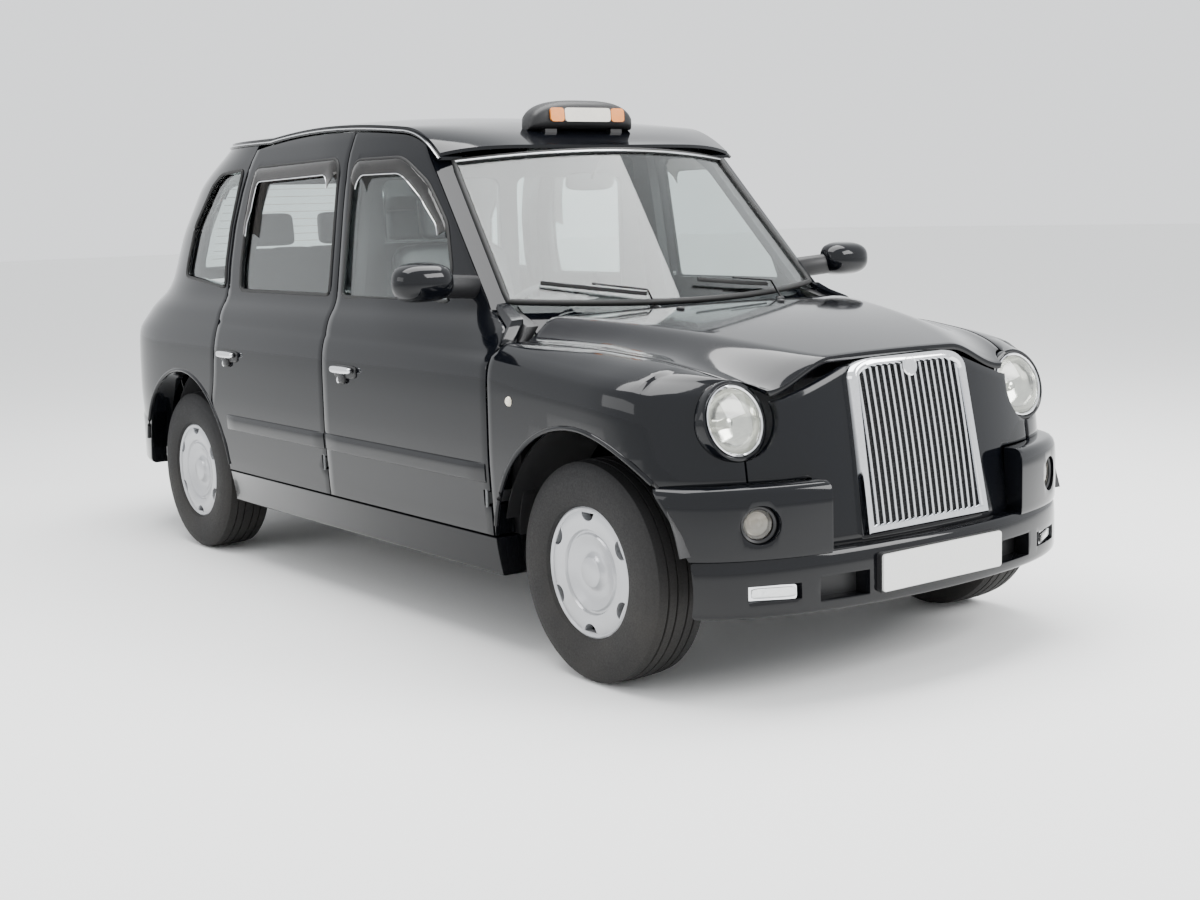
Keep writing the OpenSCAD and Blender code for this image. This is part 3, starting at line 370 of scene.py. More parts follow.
def lathe(profile, steps=72, ripple=None):
    n = len(profile)
    verts = []
    for k in range(steps):
        t = 2 * math.pi * k / steps
        for i, (r, h) in enumerate(profile):
            rr = r + (ripple(i, k) if ripple else 0)
            verts.append([rr * math.cos(t), rr * math.sin(t), h])
    faces = []
    for k in range(steps):
        for i in range(n - 1):
            m = (k + 1) % steps
            faces.append([k * n + i, k * n + i + 1, m * n + i + 1, m * n + i])
    return verts, faces


def blob(size, power=2.4, rows=20, cols=32):
    verts = []
    for i in range(rows + 1):
        v = math.pi * (i / rows - 0.5)
        for j in range(cols):
            u = 2 * math.pi * j / cols
            cu, su, cv, sv = math.cos(u), math.sin(u), math.cos(v), math.sin(v)
            e = 2 / power
            q = lambda c: math.copysign(abs(c) ** e, c)
            verts.append([size[0] * q(cv) * q(cu), size[1] * q(cv) * q(su), size[2] * q(sv)])
    faces = []
    for i in range(rows):
        for j in range(cols):
            k = (j + 1) % cols
            faces.append([i * cols + j, i * cols + k, (i + 1) * cols + k, (i + 1) * cols + j])
    return verts, faces


def moved(verts, at=(0, 0, 0), turn=None):
    out = []
    for v in verts:
        p = list(turn @ np.array(v, float)) if turn is not None else v
        out.append([p[0] + at[0], p[1] + at[1], p[2] + at[2]])
    return out


def turnY(deg):
    a = math.radians(deg)
    return np.array([[math.cos(a), 0, math.sin(a)], [0, 1, 0], [-math.sin(a), 0, math.cos(a)]])


def turnX(deg):
    a = math.radians(deg)
    return np.array([[1, 0, 0], [0, math.cos(a), -math.sin(a)], [0, math.sin(a), math.cos(a)]])


def turnZ(deg):
    a = math.radians(deg)
    return np.array([[math.cos(a), -math.sin(a), 0], [math.sin(a), math.cos(a), 0], [0, 0, 1]])


def side(verts, left):
    return [[v[0], -v[1], v[2]] for v in verts] if left else verts


def join(*parts):
    verts = []
    faces = []
    for v, f in parts:
        faces += [[i + len(verts) for i in face] for face in f]
        verts += list(v)
    return verts, faces


sides = (("right", False), ("left", True))
print("mesh tools ready")


# ---- Materials ----

def newGroup(name, inputs, outputs):
    g = bpy.data.node_groups.new(name, "ShaderNodeTree")
    for label, kind, value in inputs:
        s = g.interface.new_socket(label, in_out="INPUT", socket_type=kind)
        s.default_value = value
    for label, kind in outputs:
        g.interface.new_socket(label, in_out="OUTPUT", socket_type=kind)
    return g, g.nodes.new("NodeGroupInput"), g.nodes.new("NodeGroupOutput")


def grainGroup():
    g, i, o = newGroup("grain", [("Scale", "NodeSocketFloat", 400.0), ("Depth", "NodeSocketFloat", 0.1)],
                       [("Value", "NodeSocketFloat"), ("Normal", "NodeSocketVector")])
    at = g.nodes.new("ShaderNodeTexCoord")
    n = g.nodes.new("ShaderNodeTexNoise")
    n.inputs["Detail"].default_value = 4
    b = g.nodes.new("ShaderNodeBump")
    b.inputs["Distance"].default_value = 0.0006
    g.links.new(at.outputs["Object"], n.inputs["Vector"])
    g.links.new(i.outputs["Scale"], n.inputs["Scale"])
    g.links.new(n.outputs["Fac"], b.inputs["Height"])
    g.links.new(i.outputs["Depth"], b.inputs["Strength"])
    g.links.new(n.outputs["Fac"], o.inputs["Value"])
    g.links.new(b.outputs["Normal"], o.inputs["Normal"])
    return g


def dustGroup():
    g, i, o = newGroup("roadDust", [("Top", "NodeSocketFloat", 0.75), ("Amount", "NodeSocketFloat", 0.3)],
                       [("Mask", "NodeSocketFloat")])
    at = g.nodes.new("ShaderNodeTexCoord")
    xyz = g.nodes.new("ShaderNodeSeparateXYZ")
    fade = g.nodes.new("ShaderNodeMapRange")
    fade.inputs["From Min"].default_value = 0.25
    fade.inputs["To Min"].default_value = 1
    fade.inputs["To Max"].default_value = 0
    n = g.nodes.new("ShaderNodeTexNoise")
    n.inputs["Scale"].default_value = 6
    n.inputs["Detail"].default_value = 8
    a = g.nodes.new("ShaderNodeMath")
    a.operation = "MULTIPLY"
    b = g.nodes.new("ShaderNodeMath")
    b.operation = "MULTIPLY"
    b.use_clamp = True
    g.links.new(at.outputs["Object"], xyz.inputs[0])
    g.links.new(at.outputs["Object"], n.inputs["Vector"])
    g.links.new(xyz.outputs["Z"], fade.inputs["Value"])
    g.links.new(i.outputs["Top"], fade.inputs["From Max"])
    g.links.new(fade.outputs["Result"], a.inputs[0])
    g.links.new(n.outputs["Fac"], a.inputs[1])
    g.links.new(a.outputs[0], b.inputs[0])
    g.links.new(i.outputs["Amount"], b.inputs[1])
    g.links.new(b.outputs[0], o.inputs["Mask"])
    return g


grain = grainGroup()
dust = dustGroup()


def finish(name, color, rough, metal=0.0, coat=0.0, transmit=0.0, ior=1.45, grainScale=300.0,
        grainDepth=0.1,
           roughSpread=0.1, dirt=0.0, dirtTop=0.75, dirtColor=(0.10, 0.09, 0.075), second=None,
                   glow=0.0, shine=0.5):
    m = bpy.data.materials.new(name)
    m.use_nodes = True
    t = m.node_tree
    p = t.nodes["Principled BSDF"]
    p.inputs["Metallic"].default_value = metal
    p.inputs["Coat Weight"].default_value = coat
    p.inputs["Coat Roughness"].default_value = 0.03
    p.inputs["Specular IOR Level"].default_value = shine
    p.inputs["Transmission Weight"].default_value = transmit
    p.inputs["IOR"].default_value = ior
    g = t.nodes.new("ShaderNodeGroup")
    g.node_tree = grain
    g.inputs["Scale"].default_value = grainScale
    g.inputs["Depth"].default_value = grainDepth
    t.links.new(g.outputs["Normal"], p.inputs["Normal"])
    r = t.nodes.new("ShaderNodeMapRange")
    r.inputs["To Min"].default_value = max(0.0, rough - roughSpread / 2)
    r.inputs["To Max"].default_value = rough + roughSpread / 2
    r.inputs["From Min"].default_value = 0.3
    r.inputs["From Max"].default_value = 0.7
    t.links.new(g.outputs["Value"], r.inputs["Value"])
    t.links.new(r.outputs["Result"], p.inputs["Roughness"])
    c = t.nodes.new("ShaderNodeMix")
    c.data_type = "RGBA"
    c.inputs[6].default_value = (*color, 1)
    c.inputs[7].default_value = (*(second or [k * 0.82 for k in color]), 1)
    t.links.new(g.outputs["Value"], c.inputs[0])
    last = c.outputs[2]
    if dirt:
        d = t.nodes.new("ShaderNodeGroup")
        d.node_tree = dust
        d.inputs["Amount"].default_value = dirt
        d.inputs["Top"].default_value = dirtTop
        k = t.nodes.new("ShaderNodeMix")
        k.data_type = "RGBA"
        k.inputs[7].default_value = (*dirtColor, 1)
        t.links.new(d.outputs["Mask"], k.inputs[0])
        t.links.new(last, k.inputs[6])
        last = k.outputs[2]
    t.links.new(last, p.inputs["Base Color"])
    if glow:
        t.links.new(last, p.inputs["Emission Color"])
        p.inputs["Emission Strength"].default_value = glow
    return m


paint = finish("glossBlack", (0.0025, 0.003, 0.0045), 0.10, coat=0.42, grainScale=900, grainDepth=0.02,
               roughSpread=0.04, dirt=0.06, dirtTop=0.62, shine=0.12)
rubber = finish("sealRubber", (0.012, 0.012, 0.012), 0.6, grainScale=260, grainDepth=0.25, dirt=0.2)
tyreRubber = finish("tyreRubber", (0.011, 0.011, 0.012), 0.72, grainScale=180, grainDepth=0.5,
        dirt=0.22, shine=0.3,
                    dirtTop=0.7, roughSpread=0.2)
chrome = finish("chrome", (0.82, 0.83, 0.85), 0.08, metal=1.0, grainScale=90, grainDepth=0.02,
        roughSpread=0.06)
coverSilver = finish("coverSilver", (0.50, 0.51, 0.53), 0.34, metal=0.55, coat=0.4, grainScale=700,
                     grainDepth=0.06, dirt=0.35, dirtTop=0.6, dirtColor=(0.16, 0.14, 0.12))
blackPlastic = finish("blackPlastic", (0.012, 0.012, 0.013), 0.42, grainScale=620, grainDepth=0.3)
dashPlastic = finish("dashPlastic", (0.42, 0.41, 0.38), 0.55, grainScale=520, grainDepth=0.4)
leather = finish("seatLeather", (0.018, 0.018, 0.021), 0.42, grainScale=240, grainDepth=0.55,
        roughSpread=0.18)
carpet = finish("carpet", (0.03, 0.03, 0.032), 0.95, grainScale=700, grainDepth=1.0)
underseal = finish("underseal", (0.012, 0.012, 0.012), 0.7, grainScale=140, grainDepth=0.6, dirt=0.5)
castMetal = finish("castMetal", (0.16, 0.165, 0.17), 0.55, metal=0.8, grainScale=160, grainDepth=0.5,
        dirt=0.3)
steel = finish("pipeSteel", (0.36, 0.34, 0.31), 0.38, metal=1.0, grainScale=80, grainDepth=0.3,
               second=(0.24, 0.20, 0.16))
plateWhite = finish("plateWhite", (0.78, 0.78, 0.76), 0.32, grainScale=200, grainDepth=0.05)
lensClear = finish("lensClear", (0.93, 0.94, 0.92), 0.05, transmit=1.0, grainScale=50, grainDepth=0.05)
lensRed = finish("lensRed", (0.42, 0.012, 0.012), 0.12, coat=0.7, grainScale=60, grainDepth=0.2,
        roughSpread=0.03)
lensAmber = finish("lensAmber", (0.85, 0.26, 0.03), 0.14, coat=0.7, grainScale=60, grainDepth=0.2,
                   roughSpread=0.03)
lensCream = finish("lensCream", (0.80, 0.74, 0.60), 0.2, coat=0.6, grainScale=90, grainDepth=0.1)
reflector = finish("reflector", (0.88, 0.88, 0.84), 0.16, metal=1.0, grainScale=40, grainDepth=0.5)
signWhite = finish("signWhite", (0.80, 0.76, 0.68), 0.25, coat=0.5, grainScale=30, grainDepth=0.02)
mirrorGlass = finish("mirrorGlass", (0.86, 0.87, 0.88), 0.03, metal=1.0, grainScale=10, grainDepth=0.0,
                     roughSpread=0.02)


def glassFinish(name, color, rough=0.0):
    m = bpy.data.materials.new(name)
    m.use_nodes = True
    t = m.node_tree
    p = t.nodes["Principled BSDF"]
    p.inputs["Transmission Weight"].default_value = 1.0
    p.inputs["IOR"].default_value = 1.45
    g = t.nodes.new("ShaderNodeGroup")
    g.node_tree = grain
    g.inputs["Scale"].default_value = 5.0
    g.inputs["Depth"].default_value = 0.02
    c = t.nodes.new("ShaderNodeMix")
    c.data_type = "RGBA"
    c.inputs[6].default_value = (*color, 1)
    c.inputs[7].default_value = (*[k * 0.94 for k in color], 1)
    t.links.new(g.outputs["Value"], c.inputs[0])
    t.links.new(c.outputs[2], p.inputs["Base Color"])
    p.inputs["Roughness"].default_value = rough
    clear = t.nodes.new("ShaderNodeBsdfTransparent")
    clear.inputs["Color"].default_value = (*color, 1)
    path = t.nodes.new("ShaderNodeLightPath")
    blend = t.nodes.new("ShaderNodeMixShader")
    t.links.new(path.outputs["Is Shadow Ray"], blend.inputs[0])
    t.links.new(p.outputs[0], blend.inputs[1])
    t.links.new(clear.outputs[0], blend.inputs[2])
    t.links.new(blend.outputs[0], t.nodes["Material Output"].inputs["Surface"])
    return m


windowGlass = glassFinish("windowGlass", (0.80, 0.86, 0.85))
smokedGlass = glassFinish("smokedAcrylic", (0.22, 0.20, 0.19))
print("materials ready")


# ---- Doors, glass and side panels ----

frontWindow = [[100, 1135], [100, 1600], [130, 1630], [screenX(1625) - 190, 1630],
        [screenX(1612) - 150, 1610],
               [screenX(1535) - 92, 1535], [screenX(1395) - 78, 1395], [screenX(1250) - 140, 1250],
               [screenX(1135) - 220, 1135]]
rearWindow = [[-777, 1140], [-785, 1242], [-767, 1400], [-735, 1545], [-695, 1630], [-30, 1640], [0, 1610],
              [0, 1140]]
quarterWindow = [[-917, 1148], [-1340, 1188], [-1333, 1250], [-1280, 1410], [-1125, 1572], [-1035, 1616],
                 [-823, 1628], [-855, 1540], [-901, 1400], [-923, 1242]]
frontWindow = rounded(frontWindow, 26)
rearWindow = rounded(rearWindow, 26)
quarterWindow = rounded(quarterWindow, 30)


def aboveRail(clear):
    pts = [[x, railAt(x) - clear] for x in range(-1264, 1181, 20)]
    return pts + [[1180, 4000], [-1264, 4000]]


def doorRows():
    low = list(np.arange(400, 900, 50))
    mid = list(np.arange(900, 1140, 12))
    high = list(np.arange(1140, 1740, 40)) + [1752]
    return [float(z) for z in low + mid + high]


def crease(z, x):
    return 3.5 * math.exp(-((z - 985 + 0.012 * (x - 1170)) / 9) ** 2)


def doorPanel(rear):
    rows = doorRows()
    cols = 29
    def grid(inner):
        out = []
        for z in rows:
            row = []
            for k in range(cols):
                t = k / (cols - 1)
                bevel = 15 if inner else 0
                a = (rearEdge(z) if rear else 63.5) + bevel
                b = 56.5 if rear else frontEdge(z)
                x = mix(a, b, t)
                row.append([x, -sideY(x, z, doorDepthAt(z) - 2 if inner else crease(z, x)), z])
            out.append(row)
        return out
    return shell(grid(False), grid(True))


def hingeRoom(x):
    return [box([x - 14, x + 26], [-887, 0], [z - 26, z + 26]) for z in (520, 860)]


def arch(x, r=443):
    pts = [[x + r * math.cos(math.radians(a)), 343 + r * math.sin(math.radians(a))] for a in range(0,
            360, 3)]
    return prism(pts, "y", -4000, -560)


def onSide(outline, out, left, stand=0):
    return side([[x, -(sideY(x, z) + out), z] for x, z in outline], left)


def surround(name, outline, body, left, radius=7, out=-1):
    v, f = tube(onSide(outline, out, left), radius, closed=True, sides=8)
    return addMesh(name, v, f, body, rubber, angle=60)


def paneOf(name, outline, body, left, node, xa, xb):
    def grid(d):
        return [[[mix(xa, xb, t / 14), -sideY(mix(xa, xb, t / 14), z, d), z] for t in range(15)]
                for z in range(1115, 1660, 30)]
    v, f = shell(grid(14), grid(19))
    o = addMesh(name, side(v, left), f, body, windowGlass, stands=[node] if node else ())
    v, f = prism(outline, "y", -4000, 4000)
    return carve(o, [cutter(v, f)], keep=True, angle=50)


def deflector(name, outline, body, left):
    top = [p for p in outline if p[1] > 1300]
    top.sort(key=lambda p: p[0] + (0 if p[1] > 1560 else 0))
    outer = []
    cx = sum(p[0] for p in outline) / len(outline)
    for x, z in outline:
        if z > 1330:
            outer.append([x, z])
    rows = []
    for k, (out, pull) in enumerate(((2, 0), (14, 12), (20, 34), (19, 62))):
        rows.append([[mix(x, cx, pull / 420), -(sideY(x, z) + out), z - pull * (0.9 if z > 1500 else 0.25)]
                     for x, z in outer])
    inner = [[[p[0], p[1] + 3, p[2] - 1] for p in row] for row in rows]
    v, f = shell(rows, inner)
    addMesh(name, side(v, left), f, body, smokedGlass, angle=50)
    v, f = tube(side(rows[-1], left), 2.2, sides=6)
    addMesh(name + "Lip", v, f, body, chrome, angle=60)


handle = {"length": 150, "height": 28, "out": 34, "recess": 62}


def doorHandle(name, x, z, body, left):
    y = sideY(x, z)
    bar, f = blob([handle["length"] / 2, 13, handle["height"] / 2], 3.4)
    addMesh(name, side(moved(bar, (x, -(y + 20), z)), left), f, body, chrome)
    v, f = blob([handle["length"] / 2 + 8, 7, 24], 4)
    addMesh(name + "Cup", side(moved(v, (x, -(y + 1), z - 8)), left), f, body, blackPlastic)
    v, f = blob([24, 12, 20], 3)
    addMesh(name + "Pull", side(moved(v, (x - 14, -(y + 5), z - 33)), left), f, body,
            blackPlastic)
    v, f = lathe([[0, 0], [11, 0], [12, 3], [12, 9], [9, 11], [3, 11], [0, 9]], 24)
    addMesh(name + "Lock", side(moved(v, (x - 42, -y, z - 40), turnX(90)), left), f, body,
            chrome)


def rubStrip(name, x0, x1, body, left):
    rows = []
    for z, out in ((570, 0), (573, 6), (580, 9), (602, 10), (624, 9), (631, 6), (634, 0)):
        rows.append([[mix(x0, x1, k / 20), -(sideY(mix(x0, x1, k / 20), z) + out * (0.4 if k in (0,
                20) else 1)), z]
                     for k in range(21)])
    inner = [[[p[0], p[1] + 6 + (8 if 0 < i < 6 else 0), p[2]] for p in row] for i, row in enumerate(rows)]
    v, f = shell(rows, inner)
    addMesh(name, side(v, left), f, body, paint)


for word, left in sides:
    for rear in (False, True):
        place = "rear" if rear else "front"
        node = word + "_" + place + "_door"
        v, f = doorPanel(rear)
        door = addMesh(node + "Panel", side(v, left), f, node, paint, stands=[node])
        outline = rearWindow if rear else frontWindow
        cuts = [prism(aboveRail(10), "y", -4000, 4000), prism(outline, "y", -4000, 4000)]
        if rear:
            cuts.append(arch(rearAxle))
        cuts += hingeRoom(31.5 if rear else 1145)
        carve(door, [cutter(side(c[0], left), c[1]) for c in cuts], edge=2.2)
        surround(node + "Seal", outline, node, left)
        glassNode = word + "_" + place + "_glass"
        paneOf(glassNode + "Pane", outline, node, left, glassNode, -885 if rear else 60,
                60 if rear else 1170)
        deflector(node + "Deflector", outline, node, left)
        doorHandle(node + "Handle", -749 if rear else 241, 884 if rear else 881, node, left)
        rubStrip(node + "Strip", (-800 if rear else 68), (50 if rear else 1152), node, left)
print("doors ready")


def quarterGrid(inset):
    out = []
    for z in [400, 440, 480, 520, 560, 600, 640, 680] + list(range(710, 1700, 22)) + [1712, 1732]:
        edge = rearEdge(z) - gap
        d = (doorDepthAt(z) + 9) if inset else crease(z, -885) * 0.6
        start = tailStart(z)
        end = math.degrees(math.acos(clamp(560 / (widthAt(z) - d), -1, 1)))
        row = []
        for k in range(9):
            x = mix(edge, start, k / 9)
            row.append([x, -sideY(x, z, d), z])
        for k in range(25):
            row.append(tailPoint(end * (0.01 + 0.99 * k / 24), z, d))
        out.append(row)
    return out


def innerGrid():
    def grid(deep):
        out = []
        for z in [265, 330, 400, 500, 650, 800, 950, 1000, 1060,
                1110] + list(range(1150, 1700, 45)) + [1735]:
            b = 1220 if z <= 950 else (1164 if z < 1110 else frontEdge(z) + 12)
            row = []
            for k in range(31):
                x = mix(rearEdge(z) - 25, b, k / 30)
                row.append([x, -sideY(x, z, doorDepthAt(z) + 7 + deep), z])
            out.append(row)
        return out
    return shell(grid(0), grid(44))


frontOpening = rounded([[98, 420], [98, 1670], [frontEdge(1650) - 130, 1650], [frontEdge(1570) - 50, 1570],
                        [frontEdge(1150) - 50, 1150], [1100, 1000], [1100, 420]], 50)
rearOpening = rounded([[-22, 420], [-22, 1670], [-665, 1662], [-775, 1545], [-835, 1400], [-855, 1242],
                       [-855, 700], [-805, 420]], 50)


def pillarRing(z):
    xf = frontEdge(z) + gap
    xs = screenX(z)
    w = screenHalf(z)
    y = -sideY(xf, z, doorDepthAt(z) + 12)
    return [[xf, y, z], [xf, -sideY(xf, z) - 0.0, z], [xs - 14, -(w + 22), z], [xs - 4, -(w + 8), z],
            [xs - 2, -(w + 3), z], [xs - 40, -(w - 12), z], [xs - 40, y, z]]


def loft(rings):
    n = len(rings[0])
    verts = [p for r in rings for p in r]
    faces = [list(range(n)), list(range(len(rings) * n - 1, (len(rings) - 1) * n - 1, -1))]
    for k in range(len(rings) - 1):
        for i in range(n):
            j = (i + 1) % n
            faces.append([k * n + i, k * n + j, (k + 1) * n + j, (k + 1) * n + i])
    return verts, faces


def footRing(x, low, high, d=0):
    return [[x, -sideY(x, high, d), high], [x, -sideY(x, high, 44), high + 3],
            [x, -sideY(x, high, 44), low],
            [x, -sideY(x, low, d + 1), low]]


def sillPanel():
    profile = [[-(widthAt(z)), z] for z in (268, 280, 300, 330, 360, 385, 393)]
    profile = [[-845, 265]] + profile + [[-700, 393], [-700, 265]]
    return prism(profile, "x", -860, 1205)


for word, left in sides:
    node = word + "_side_frame"
    v, f = shell(quarterGrid(False), quarterGrid(True))
    quarter = addMesh(word + "Quarter", side(v, left), f, "body", paint, stands=[node])
    windowCut = prism([p for p in quarterWindow], "y", -4000, -440)
    bumperCut = box([-2400, -1200], [-4000, 0], [330, 570])
    lampCut = box([-2400, -2068], [-662, -578], [698, 962])
    cuts = [arch(rearAxle), windowCut, lampCut]
    carve(quarter, [cutter(side(c[0], left), c[1]) for c in cuts], edge=2.2)
    v, f = innerGrid()
    inner = addMesh(word + "DoorFrame", side(v, left), f, "body", blackPlastic)
    cuts = [prism(frontOpening, "y", -4000, 0), prism(rearOpening, "y", -4000, 0),
            prism(aboveRail(0), "y", -4000, 4000), arch(rearAxle), arch(frontAxle)]
    carve(inner, [cutter(side(c[0], left), c[1]) for c in cuts], edge=3)
    v, f = loft([pillarRing(z) for z in [1111] + list(range(1140, 1670, 30)) + [1678]])
    addMesh(word + "ScreenPillar", side(v, left), f, "body", paint)
    v, f = loft([footRing(1176, 1008, 1016), footRing(1137, 1064, 1082), footRing(1070, 1090, 1106, 2),
                 footRing(1015, 1116, 1130, 4)])
    addMesh(word + "PillarFoot", side(v, left), f, "body", paint)
    v, f = sillPanel()
    sill = addMesh(word + "Sill", side(v, left), f, "body", paint)
    carve(sill, [cutter(side(c[0], left), c[1]) for c in (arch(rearAxle), arch(frontAxle))], edge=5)
    railPath = [[x, -(sideY(x, railAt(x)) + 3), railAt(x) + 1] for x in range(590, -620, -20)]
    railPath += [[p[0], p[1] - 2, p[2] + 1] for p in (tailPoint(a, railTail) for a in np.linspace(4, 60,
            14))]
    v, f = tube(side(railPath, left), 7, sides=8)
    addMesh(word + "DripRail", v, f, "body", paint, angle=60)
    v, f = tube(side([[p[0], p[1] - 5, p[2] + 3] for p in railPath], left), 2.4, sides=6)
    addMesh(word + "DripRailEdge", v, f, "body", chrome, angle=60)
    band = []
    for dz, d in ((-2, -2), (-2, 90), (9, 90), (9, -2)):
        band.append([[x, -sideY(x, railAt(x), d), railAt(x) + dz] for x in range(590, -650, -20)])
    v, f = shell([band[0], band[3]], [band[1], band[2]])
    addMesh(word + "RailBox", side(v, left), f, "body", paint)
    arms = []
    for x in (1145, 31.5):
        for z in (520, 860):
            arms.append(box([x - 5, x + 5], [-880, -790], [z - 18, z + 18]))
            pin = lathe([[0, -30], [6, -30], [6, 30], [0, 30]], 20)
            arms.append((moved(pin[0], (x, -880, z)), pin[1]))
    v, f = join(*arms)
    addMesh(word + "DoorHinges", side(v, left), f, "body", castMetal)
    # Quarter window and its seal, which bends round the tail
    def glassAt(x, z, d):
        s = tailStart(z)
        if x >= s:
            return [x, -sideY(x, z, d), z]
        t = clamp((s - x) / (s - tailEnd(z) - d), 0, 1)
        a = math.asin(t ** (tailRound(z) / 2))
        return [x, -(widthAt(z) - d) * math.cos(a), z]
    rows = [[glassAt(x, z, 12) for x in range(-1360, -790, 15)] for z in range(1130, 1650, 20)]
    back = [[glassAt(x, z, 17) for x in range(-1360, -790, 15)] for z in range(1130, 1650, 20)]
    v, f = shell(rows, back)
    pane = addMesh(word + "QuarterGlass", side(v, left), f, "body", windowGlass,
                   stands=[] if left else ["rear_windows"])
    v, f = prism(quarterWindow, "y", -4000, 4000)
    carve(pane, [cutter(v, f)], keep=True, angle=50)
    v, f = tube(side([[p[0], p[1] - 1, p[2]] for p in (glassAt(x, z, 0) for x, z in quarterWindow)],
            left), 7,
                closed=True)
    addMesh(word + "QuarterSeal", v, f, "body", rubber, angle=60)
    # Rolled lip round the rear wheel arch
    lip = []
    for a in range(-6, 168, 4):
        x = rearAxle + 445 * math.cos(math.radians(a))
        z = 343 + 445 * math.sin(math.radians(a))
        if z > 402:
            lip.append([x, -(sideY(x, z) - 3), z])
    v, f = tube(side(lip, left), 9, sides=8)
    addMesh(word + "RearArchLip", v, f, "body", paint, angle=60)
print("sides ready")

# ---- Roof, windscreen, tail ----

stations = list(np.arange(584, -560, -22)) + [mix(-600, roofEnd, t) for t in
           (0, 0.08, 0.16, 0.25, 0.34, 0.43, 0.52, 0.6, 0.68, 0.75, 0.82, 0.88, 0.93, 0.97, 1)]
across = [math.sin(math.pi / 2 * k / 24) for k in range(-24, 25)]
v, f = shell([[roofPoint(x, r) for r in across] for x in stations],
             [[roofPoint(x, r, 12) for r in across] for x in stations])
addMesh("roofSkin", v, f, "body", paint, stands=["roof"])


def screenPoint(r, t, d=0):
    z = mix(1135 - 25 * (1 - r * r), 1606 + 32 * (1 - r * r), t)
    return [screenX(z) + 150 * (1 - r * r) - d * 1.35, screenHalf(z) * r, z]


cross = [k / 20 for k in range(-20, 21)]
rise = [k / 16 for k in range(17)]
v, f = shell([[screenPoint(r, t) for r in cross] for t in rise],
        [[screenPoint(r, t, 6) for r in cross] for t in rise])
addMesh("windscreenPane", v, f, "body", windowGlass, stands=["windscreen"])
rim = [screenPoint(r, 0, -2) for r in cross] + [screenPoint(1, t, -2) for t in rise[1:]]
rim += [screenPoint(-r, 1, -2) for r in cross[1:]] + [screenPoint(-1, 1 - t, -2) for t in rise[1:-1]]
v, f = tube(rim, 11, closed=True, sides=8)
addMesh("windscreenSeal", v, f, "body", rubber, angle=60)
v, f = tube([screenPoint(r, 1, -9) for r in cross], 4, sides=8)
addMesh("windscreenTopStrip", v, f, "body", chrome, angle=60)
v, f = blob([14, 110, 34], 3.4)
addMesh("rearViewMirror", moved(v, (560, 0, 1530), turnY(12)), f, "body", blackPlastic)
v, f = tube([[575, 0, 1540], [600, 0, 1575], [655, 0, 1618]], 7)
addMesh("rearViewMirrorStalk", v, f, "body", blackPlastic)

for name, y0, y1, x0 in (("wiperRight", -250, -560, 1150), ("wiperLeft", 330, 20, 1150)):
    foot = [1165, y0 + 60, 1092]
    def onScreen(y, t):
        p = screenPoint(clamp(y / 650, -1, 1), t, -16)
        return [p[0], y, p[2] + 4]
    start = onScreen(y0 + 20, 0.03)
    path = [[foot[0] + 6, foot[1], foot[2] + 4], [mix(foot[0], start[0], 0.6), mix(foot[1], y0, 0.5),
            start[2] + 22],
            [onScreen((y0 + y1) / 2, 0.09)[0] + 8, (y0 + y1) / 2, onScreen((y0 + y1) / 2, 0.09)[2] + 14]]
    v, f = tube(path, 6, sides=8, flat=0.6)
    addMesh(name + "Arm", v, f, "body", blackPlastic, angle=60)
    blade = [onScreen(mix(y0 + 30, y1, k / 14), mix(0.045, 0.12, k / 14)) for k in range(15)]
    v, f = tube(blade, 5, sides=6, flat=1.6)
    addMesh(name + "Blade", v, f, "body", rubber, angle=60)
    v, f = lathe([[0, 0], [17, 0], [17, 14], [12, 20], [0, 21]], 24)
    addMesh(name + "Hub", moved(v, (foot[0], foot[1], foot[2] - 12)), f, "body",
            blackPlastic)


def tailGrid(half, rows, d, cols=41):
    return [[tailAt(half * (2 * k / (cols - 1) - 1), z, d) for k in range(cols)] for z in rows]


panelRows = [570, 590, 620, 660, 700, 750, 800] + list(range(830, 1730, 22)) + [1732]
v, f = shell(tailGrid(559.5, panelRows, 0), tailGrid(559.5, panelRows, 38))
tail = addMesh("tailPanel", v, f, "body", paint, stands=["rear_panel"])
rearScreen = rounded([[-470, 1196], [-440, 1540], [-380, 1590], [380, 1590], [440, 1540], [470, 1196]], 40)
lidHole = rounded([[-527, 583], [-527, 1144], [527, 1144], [527, 583]], 24)
cuts = [prism([[a, b] for a, b in rearScreen], "x", -2300, -1300), prism(lidHole, "x", -2300, -1300)]
carve(tail, [cutter(*c) for c in cuts], edge=2.2)
paneRows = list(range(1180, 1620, 24))
v, f = shell(tailGrid(540, paneRows, 12, 31), tailGrid(540, paneRows, 18, 31))
pane = addMesh("rearScreenPane", v, f, "body", windowGlass)
carve(pane, [cutter(*prism(rearScreen, "x", -2300, -1300))], keep=True, angle=50)
v, f = tube([tailAt(y, z, -1) for y, z in rearScreen], 8, closed=True)
addMesh("rearScreenSeal", v, f, "body", rubber, angle=60)
heater = []
for z in range(1240, 1570, 36):
    heater.append(tube([tailAt(y, z, 20) for y in range(-400, 401, 40)], 1.2, sides=4))
v, f = join(*heater)
addMesh("rearScreenHeater", v, f, "body", steel)

